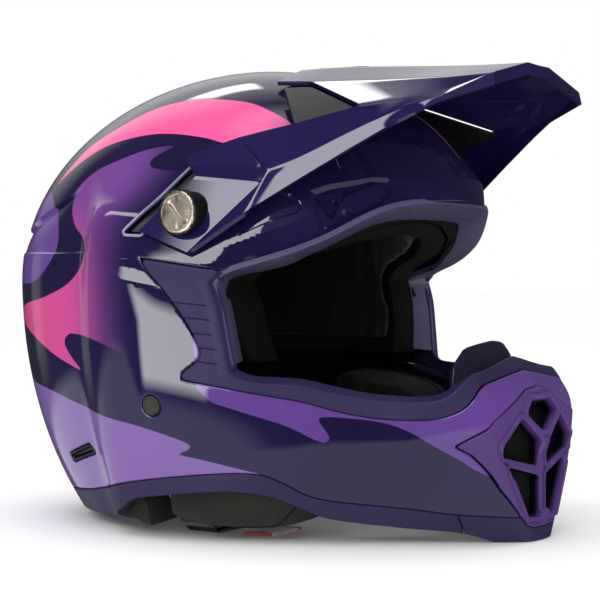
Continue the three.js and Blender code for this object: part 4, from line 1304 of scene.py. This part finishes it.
def edge_on_form(line, sign):
    """Points of the form's surface straight above a side-view line, on one side."""
    low, high = np.zeros(len(line)), np.full(len(line), 150.0)

    def place(x):
        return np.stack([sign * x, line[:, 0], line[:, 1]], 1)

    known = form_field(place(low)) < 0
    for _ in range(24):
        middle = (low + high) / 2
        inside = form_field(place(middle)) < 0
        low, high = np.where(inside, middle, low), np.where(inside, high, middle)
    return place(low)[known]


# The lining's section, as (depth under the form, height towards the opening).
REVEAL_SECTION = ((2.5, 0.2), (3.5, 1.4), (20.5, 2.4), (22.0, 1.6), (22.0, -1.4), (2.5, -1.2))


def eyeport_reveal():
    """The eyeport's inner face: a smooth lining from the shell's edge in to the foam, cheek to cheek."""
    line = evenly(np.insert(rounded(BROW_EDGE + CHEEK_EDGE[:3], closed=False), 0, 0, axis=1), 4.0)[:, 1:]
    edge = np.concatenate([edge_on_form(line, -1)[::-1], edge_on_form(line, 1)])
    for _ in range(3):
        edge[1:-1] = (edge[:-2] + 2 * edge[1:-1] + edge[2:]) / 4
    normals = form_normals(edge, 3.0)
    into = np.cross(np.gradient(edge, axis=0), normals)
    into /= np.linalg.norm(into, axis=1, keepdims=True)
    into *= np.sign(-into[len(edge) // 2, 2])
    rows = [edge - normals * depth + into * lift for depth, lift in REVEAL_SECTION]
    count, sides = len(edge), len(REVEAL_SECTION)
    faces = [(a + i, a + i + 1, b + i + 1, b + i) for a, b in
             [(k * count, (k + 1) % sides * count) for k in range(sides)] for i in range(count - 1)]
    faces += [tuple(k * count + i for k in range(sides)) for i in (0, count - 1)]
    made = new_object("eyeport_reveal", np.concatenate(rows), faces, INNER)
    facing_out(made)
    smooth(made, 40)
    finish_piece(made, "helmet", "trim_rubber")


WEB_CLEARANCE, WEB_DROP, WEB_SHEET = 8.0, 2.8, 1.8
WEB_FOOT = ((-62.0, -62.0, 240.0), (-84.0, -84.0, 222.0))  # set over the form by the clearance


def peak_webs():
    """A thin panel beside each window of the peak, between the roof's edge and the arm."""
    for sign, side in SIDES:
        outer = np.array([PEAK_POINTS[name] for name in ("crease3", "top3", "top4")]) - [0, 0, WEB_DROP]
        inner = on_form(np.array(WEB_FOOT), WEB_CLEARANCE)[::-1]
        upper = np.concatenate([outer, inner]) * [sign, 1, 1]
        faces = [(0, 1, 2, 3, 4), (9, 8, 7, 6, 5)]
        faces += [(i, (i + 1) % 5, (i + 1) % 5 + 5, i + 5) for i in range(5)]
        verts = np.concatenate([upper, upper - [0, 0, WEB_SHEET]])
        made = new_object(f"peak_web_{side}", verts, faces, BLACK)
        facing_out(made)
        round_edges(made, 0.5, 40)
        smooth(made, 30)
        finish_piece(made, "peak", "peak_plastic")


COPIES = (  # CAD pieces whose shape is right: node, piece, material, body, slot, bevel
    ("crown_screw", "crown_bolt", STEEL, "top_screw", "screw_metal", 0.3),
    ("crown_nut", "crown_nut_plate", STEEL, "helmet", "screw_metal", 0.2),
    *((f"pivot_nut_{side}", f"pivot_insert_{side}", STEEL, "helmet", "screw_metal", 0.2)
      for _, side in SIDES),
    ("mouth_filter", "muzzle_filter", FILTER, "helmet", "foam", 0.4),
    ("outer_foam", "impact_foam", FOAM, "helmet", "foam", 0.8),
    ("inner_foam", "slip_foam", FOAM, "inner_liner", "foam", 0.8),
    *((f"{part}_foam_{side}", f"{part}_block_{side}", FOAM, "helmet", "foam", 0.8)
      for part in ("chin", "cheek") for _, side in SIDES),
)


def small_copies():
    for node_name, piece, material, body, slot, bevel in COPIES:
        finish_piece(cad_copy(node_name, piece, material, bevel), body, slot, node_name)


# ---------------------------------------------------------------- soft parts
CLOTH_FRAMES = 20
PRESSURE = 4.0
VOXEL, SOFTENING = 4.0, 6  # the cloth's grid in mm, and how often it is smoothed


def swollen(made, cap):
    """Cloth with pressure and no gravity, its result applied, and no point moved further than cap (mm)."""
    rest = head_points(made)
    cloth = made.modifiers.new("Cloth", "CLOTH").settings
    cloth.quality, cloth.mass, cloth.use_pressure, cloth.uniform_pressure_force = 4, 0.3, True, PRESSURE
    cloth.tension_stiffness = cloth.compression_stiffness = 12
    cloth.effector_weights.gravity = 0
    scene = bpy.context.scene
    for step in range(1, CLOTH_FRAMES + 1):
        scene.frame_set(step)
    apply_modifiers(made)
    scene.frame_set(1)
    moved = head_points(made) - rest
    size = np.linalg.norm(moved, axis=1, keepdims=True)
    set_points(made, rest + moved / np.maximum(size, 1e-9) * np.minimum(size, cap))


def along_normals(made, reach):
    """Moves each point of a piece out along its normal."""
    normals = np.array([v.normal for v in made.data.vertices])
    set_points(made, head_points(made) + normals * reach)


def cushion(node_name, name, material, body, shrink=1.2, cap=2.6, shape=None):
    """A padded piece grown from its CAD solid."""
    made = bare_copy(node_name, name, material)
    modify(made, "REMESH", mode="VOXEL", voxel_size=VOXEL * MM)
    modify(made, "SMOOTH", factor=0.5, iterations=SOFTENING)
    set_material(made, material)
    along_normals(made, -shrink)
    swollen(made, cap)
    if shape:
        shape(made)
    modify(made, "SUBSURF", levels=1, render_levels=1)
    made.data.shade_smooth()
    finish_piece(made, body, "lining_fabric", node_name)
    return made


def cord_loop(name, points, radius, material):
    """A round cord along a closed line of head-frame points, as a mesh."""
    curve = bpy.data.curves.new(name, "CURVE")
    curve.dimensions, curve.bevel_depth, curve.bevel_resolution = "3D", radius * MM, 4
    spline = curve.splines.new("POLY")
    spline.points.add(len(points) - 1)
    flat = np.concatenate([(points + LENGTH_SHIFT) * MM, np.ones((len(points), 1))], 1)
    spline.points.foreach_set("co", flat.ravel())
    spline.use_cyclic_u = True
    drawn = placed(name, curve)
    mesh = bpy.data.meshes.new_from_object(drawn.evaluated_get(bpy.context.evaluated_depsgraph_get()))
    bpy.data.objects.remove(drawn)
    made = placed(name, mesh)
    set_material(made, material)
    mesh.shade_smooth()
    return made


def slice_loop(made, point, normal):
    """The longest closed line where a plane meets a mesh, in head-frame millimetres."""
    work = bmesh.new()
    work.from_mesh(made.data)
    place = Vector((np.array(point) + LENGTH_SHIFT) * MM)
    geometry = [*work.verts, *work.edges, *work.faces]
    found = bmesh.ops.bisect_plane(work, geom=geometry, plane_co=place, plane_no=Vector(normal))["geom_cut"]
    edges = [e for e in found if isinstance(e, bmesh.types.BMEdge)]  # a list, so that each run starts alike
    loops = []
    while edges:
        edge = edges.pop(0)
        line = [edge.verts[0], edge.verts[1]]
        while following := [e for e in line[-1].link_edges if e in edges]:
            edges.remove(following[0])
            line.append(following[0].other_vert(line[-1]))
        loops.append(np.array([np.array(v.co) / MM - LENGTH_SHIFT for v in line]))
    work.free()
    return max(loops, key=lambda loop: np.linalg.norm(np.diff(loop, axis=0), axis=1).sum())


def evenly(line, step):
    """Points at equal distances along a polyline."""
    length = np.concatenate([[0], np.cumsum(np.linalg.norm(np.diff(line, axis=0), axis=1))])
    at = np.linspace(0, length[-1], max(4, int(length[-1] / step)))
    return np.stack([np.interp(at, length, line[:, k]) for k in range(3)], 1)


PIPING_PLACE, PIPING_RADIUS = 86, 0.9  # |x| of the cheek pad's piped seam


BULGE, CURL = 0.06, 3.6
STRAP_LIFT, STRAP_TUCK = 2.8, 15.0
HEAD_CENTRE = (0, -8, 134)
QUILT_DEPTH, QUILT_WIDTH = 2.0, 3.0


def soft_parts():
    for sign, side in SIDES:
        pad = cushion(f"cheek_pad_{side}", f"cheek_cushion_{side}", KNIT, "helmet", shape=lifted)
        seam = evenly(slice_loop(pad, (-PIPING_PLACE * sign, 0, 0), (1, 0, 0)), 3.0)
        piping = cord_loop(f"cheek_piping_{side}", seam, PIPING_RADIUS, PIPING)
        finish_piece(piping, "helmet", "lining_fabric")
    cushion("neck_roll", "neck_cushion", KNIT, "helmet")
    cushion("comfort_liner", "crown_lining", MESH_KNIT, "inner_liner", shrink=0.2, cap=1.2, shape=quilt)


def lifted(made):
    """The cheek pad's lower edge curls up a little, and its side bulges out over the strap."""
    points = head_points(made)
    low = 1 - smooth_step(38, 58, points[:, 2])
    points[:, 0] *= 1 + BULGE * smooth_step(60, 92, np.abs(points[:, 0])) * low
    points[:, 2] += CURL * (1 - smooth_step(3, 34, points[:, 2]))
    set_points(made, points)


def tucked(made):
    """The strap runs down inside the cheek pad, and its bend hangs just clear of the table."""
    points = head_points(made)
    outer = smooth_step(74, 90, np.abs(points[:, 0]))
    points[:, 2] += STRAP_LIFT * (1 - smooth_step(3, 22, points[:, 2])) * outer
    points[:, 0] -= np.sign(points[:, 0]) * STRAP_TUCK * outer * (1 - smooth_step(34, 60, points[:, 2]))
    set_points(made, points)


def quilt(made):
    """Sewn channels: the lining pulls in along two lines front to back and two across."""
    points = head_points(made)
    normals = np.array([v.normal for v in made.data.vertices])
    x, y, _ = points.T
    seams = np.min([np.abs(np.abs(x) - 26), np.abs(y - 30), np.abs(y + 45)], axis=0)
    inside = np.einsum("ij,ij->i", normals, points - HEAD_CENTRE) < 0
    along_normals(made, -(QUILT_DEPTH * np.exp(-(seams / QUILT_WIDTH) ** 2) * inside)[:, None])


# The strap along Y, its outer face's |x| with the threads' own rise, and its rows of stitches.
STRAP_MIDDLE, THREAD_PLACE, THREAD_ROW = -18.5, 99.56, 7.2
THREAD_HEIGHTS, THREAD_LENGTH, THREAD_HALF = np.arange(10.0, 66.0, 4.2), 2.8, 0.26
TAB_MIDDLE, TAB_STRIPE = 57, 13  # |x| of the red tab, and where its pale ends start from there


def stitches(name, starts):
    """Short rounded upright threads lying on a surface, one from each start."""
    side = np.array([(0, -1, 0), (-1, 0, 0), (0, 1, 0), (1, 0, 0)]) * THREAD_HALF
    verts, faces = [], []
    for start in starts:
        faces += [tuple(i + len(verts) for i in face) for face in swept(4)]
        for share, size in ((0, 0.3), (0.15, 1), (0.85, 1), (1, 0.3)):
            verts += [start + np.array([0, 0, THREAD_LENGTH * share]) + s * size for s in side]
    made = new_object(name, verts, faces, THREAD)
    facing_out(made)
    return made


def straps():
    """Chin straps with their stitches and red tabs, and the loop that holds the two steel rings."""
    for sign, side in SIDES:
        band = cad_copy(f"chin_strap_{side}", f"strap_band_{side}", BLACK_WEB, 0.5, 40)
        starts = [(-sign * THREAD_PLACE, STRAP_MIDDLE + row, z)
                  for row in (-THREAD_ROW, THREAD_ROW) for z in THREAD_HEIGHTS]
        threads = stitches(f"strap_thread_{side}", np.array(starts))
        for made, replaced in ((band, [f"chin_strap_{side}"]), (threads, [])):
            tucked(made)
            finish_piece(made, "helmet", "webbing", *replaced)
        tab = cad_copy(f"release_tab_{side}", f"pull_tab_{side}", RED_WEB, 0.4, 40)
        set_attribute(tab, "stripe", np.abs(np.abs(head_points(tab)[:, 0]) - TAB_MIDDLE) - TAB_STRIPE)
        finish_piece(tab, "helmet", "red_webbing", f"release_tab_{side}")
    finish_piece(cad_copy("ring_loop", "ring_fold", BLACK_WEB, 0.4), "helmet", "webbing", "ring_loop")
    for level in ("lower", "upper"):
        ring = cad_copy(f"d_ring_{level}", f"steel_ring_{level}", STEEL, 0)
        modify(ring, "SUBSURF", levels=2, render_levels=2)
        ring.data.shade_smooth()
        finish_piece(ring, f"{level}_ring", "ring_steel", f"d_ring_{level}")


# ---------------------------------------------------------------- studio
CAMERA, CAMERA_TARGET = (-0.8480, -0.5419, 0.13845), (0, -0.012, 0.1285)
LIGHTS = (  # weak fills, unseen in reflections: name, place, size, power
    ("overhead", (-0.2, 0.1, 1.6), (1.4, 1.1), 6), ("side", (-1.5, 0.5, 0.6), (0.7, 0.9), 3),
    ("front", (-0.6, -1.6, 0.8), (0.9, 0.7), 3),
)
LIGHT_TARGET = (0, 0, 0.12)
FLOOR_HALF = 20  # m


def aimed(name, data, place, target):
    """A camera or light that looks from place to target."""
    made = placed(name, data)
    made.location = place
    made.rotation_euler = (Vector(target) - Vector(place)).to_track_quat("-Z", "Y").to_euler()
    return made


# What gloss surfaces see: soft-edged bright areas, as (azimuth range, elevation range, softness, strength).
# Azimuth runs from the helmet's front (-Y) towards +X, elevation from the horizon, in degrees.
REFLECTED = (
    ((-126, 75), (-120, -19), 1.2, 0.8),  # white table in front
    ((150, 234), (-34, -13), 1.2, 0.8),  # and behind
    ((-112, -86), (-17, -5.5), 1.0, 8.5),  # low softbox beside the cheek, its sides leaning
    ((-104.2, -78), (22, 48), 0.8, 8.0),  # high softbox on the same side
    ((-118, -104.2), (43, 49.4), 0.8, 8.0),
    ((129, 145), (41.5, 50), 1.0, 5.5),  # strip behind the crown
    ((104, 162), (16, 60), 9.0, 0.95),  # white wall behind
    ((-84, -56), (28, 36), 12.0, 0.6),  # soft front fill
    ((-180, 180), (72, 120), 5.0, 1.6),  # ceiling
    ((163, 174), (-9, 9), 2.4, 0.3),  # thin strip behind the rear
)
LEANING, LEAN = (-112, -86), 0.6  # the softbox whose sides lean, in azimuth per degree of elevation
DARK_ROOM = 0.03
DOME = 0.98  # strength of the even light that falls on everything


def reflected_room(tree):
    """Strength of the room in the direction of a reflection: the sum of the REFLECTED patches."""
    x, y, z = node(tree, "SeparateXYZ", {0: node(tree, "TexCoord", {}).outputs["Generated"]}).outputs
    turn = maths(tree, "ARCTAN2", x, maths(tree, "MULTIPLY", y, -1.0))
    azimuth = maths(tree, "MULTIPLY", turn, 180 / math.pi)
    elevation = maths(tree, "MULTIPLY", maths(tree, "ARCSINE", z), 180 / math.pi)
    leaning = maths(tree, "SUBTRACT", azimuth, maths(tree, "MULTIPLY", elevation, LEAN))
    total = DARK_ROOM
    for azimuths, elevations, soft, strength in REFLECTED:
        patch = strength
        across = leaning if azimuths == LEANING else azimuth
        for angle, (low, high) in ((across, azimuths), (elevation, elevations)):
            if high > 180:  # a range across the back, where azimuth wraps round
                angle = maths(tree, "MODULO", maths(tree, "ADD", angle, 360.0), 360.0)
            for edge, sign in ((low, 1), (high, -1)):
                patch = maths(tree, "MULTIPLY", patch,
                              ranged(tree, angle, edge - sign * soft, edge + sign * soft, 0, 1))
        total = maths(tree, "ADD", total, patch)
    return total


def chosen(tree, share, a, b):
    return node(tree, "Mix", {0: share, 2: a, 3: b}, data_type="FLOAT").outputs[0]


def floor():
    mesh = bpy.data.meshes.new("floor")
    corners = [(x * FLOOR_HALF, y * FLOOR_HALF, 0) for x, y in ((-1, -1), (1, -1), (1, 1), (-1, 1))]
    mesh.from_pydata(corners, [], [(0, 1, 2, 3)])
    paper, tree, shader = blank("floor_paper")
    set_inputs(tree, shader, {
        "Base Color": (1.0, 1.0, 1.0, 1), "Roughness": 0.95, "Specular IOR Level": 0.0,
    })
    mesh.materials.append(paper)
    made = placed("floor", mesh)
    made.visible_glossy = False  # the gloss surfaces see the room described in REFLECTED


def studio():
    scene = bpy.context.scene
    camera = bpy.data.cameras.new("camera")
    camera.lens, camera.sensor_width, camera.clip_end = 102, 36, 50
    scene.camera = aimed("camera", camera, CAMERA, CAMERA_TARGET)
    floor()
    scene.world = bpy.data.worlds.new("studio")
    scene.world.use_nodes = True
    tree = scene.world.node_tree
    path = node(tree, "LightPath", {}).outputs
    seen = chosen(tree, path["Is Glossy Ray"], DOME, reflected_room(tree))
    seen = chosen(tree, path["Is Camera Ray"], seen, 1.0)
    set_inputs(tree, tree.nodes["Background"], {"Strength": seen, "Color": (1, 1, 1, 1)})
    scene.view_settings.view_transform = "Standard"
    for name, place, size, power in LIGHTS:
        data = bpy.data.lights.new(name, "AREA")
        data.shape, data.size, data.size_y, data.energy = "RECTANGLE", *size, power
        aimed(name, data, place, LIGHT_TARGET).visible_glossy = False


for build in (shell, eyeport_trim, base_trims, mouth_vent, side_inserts, peak, slide_pocket, pivot_sets,
              nose_bridge, peak_webs, small_copies, soft_parts, straps, eyeport_reveal, studio):
    build()
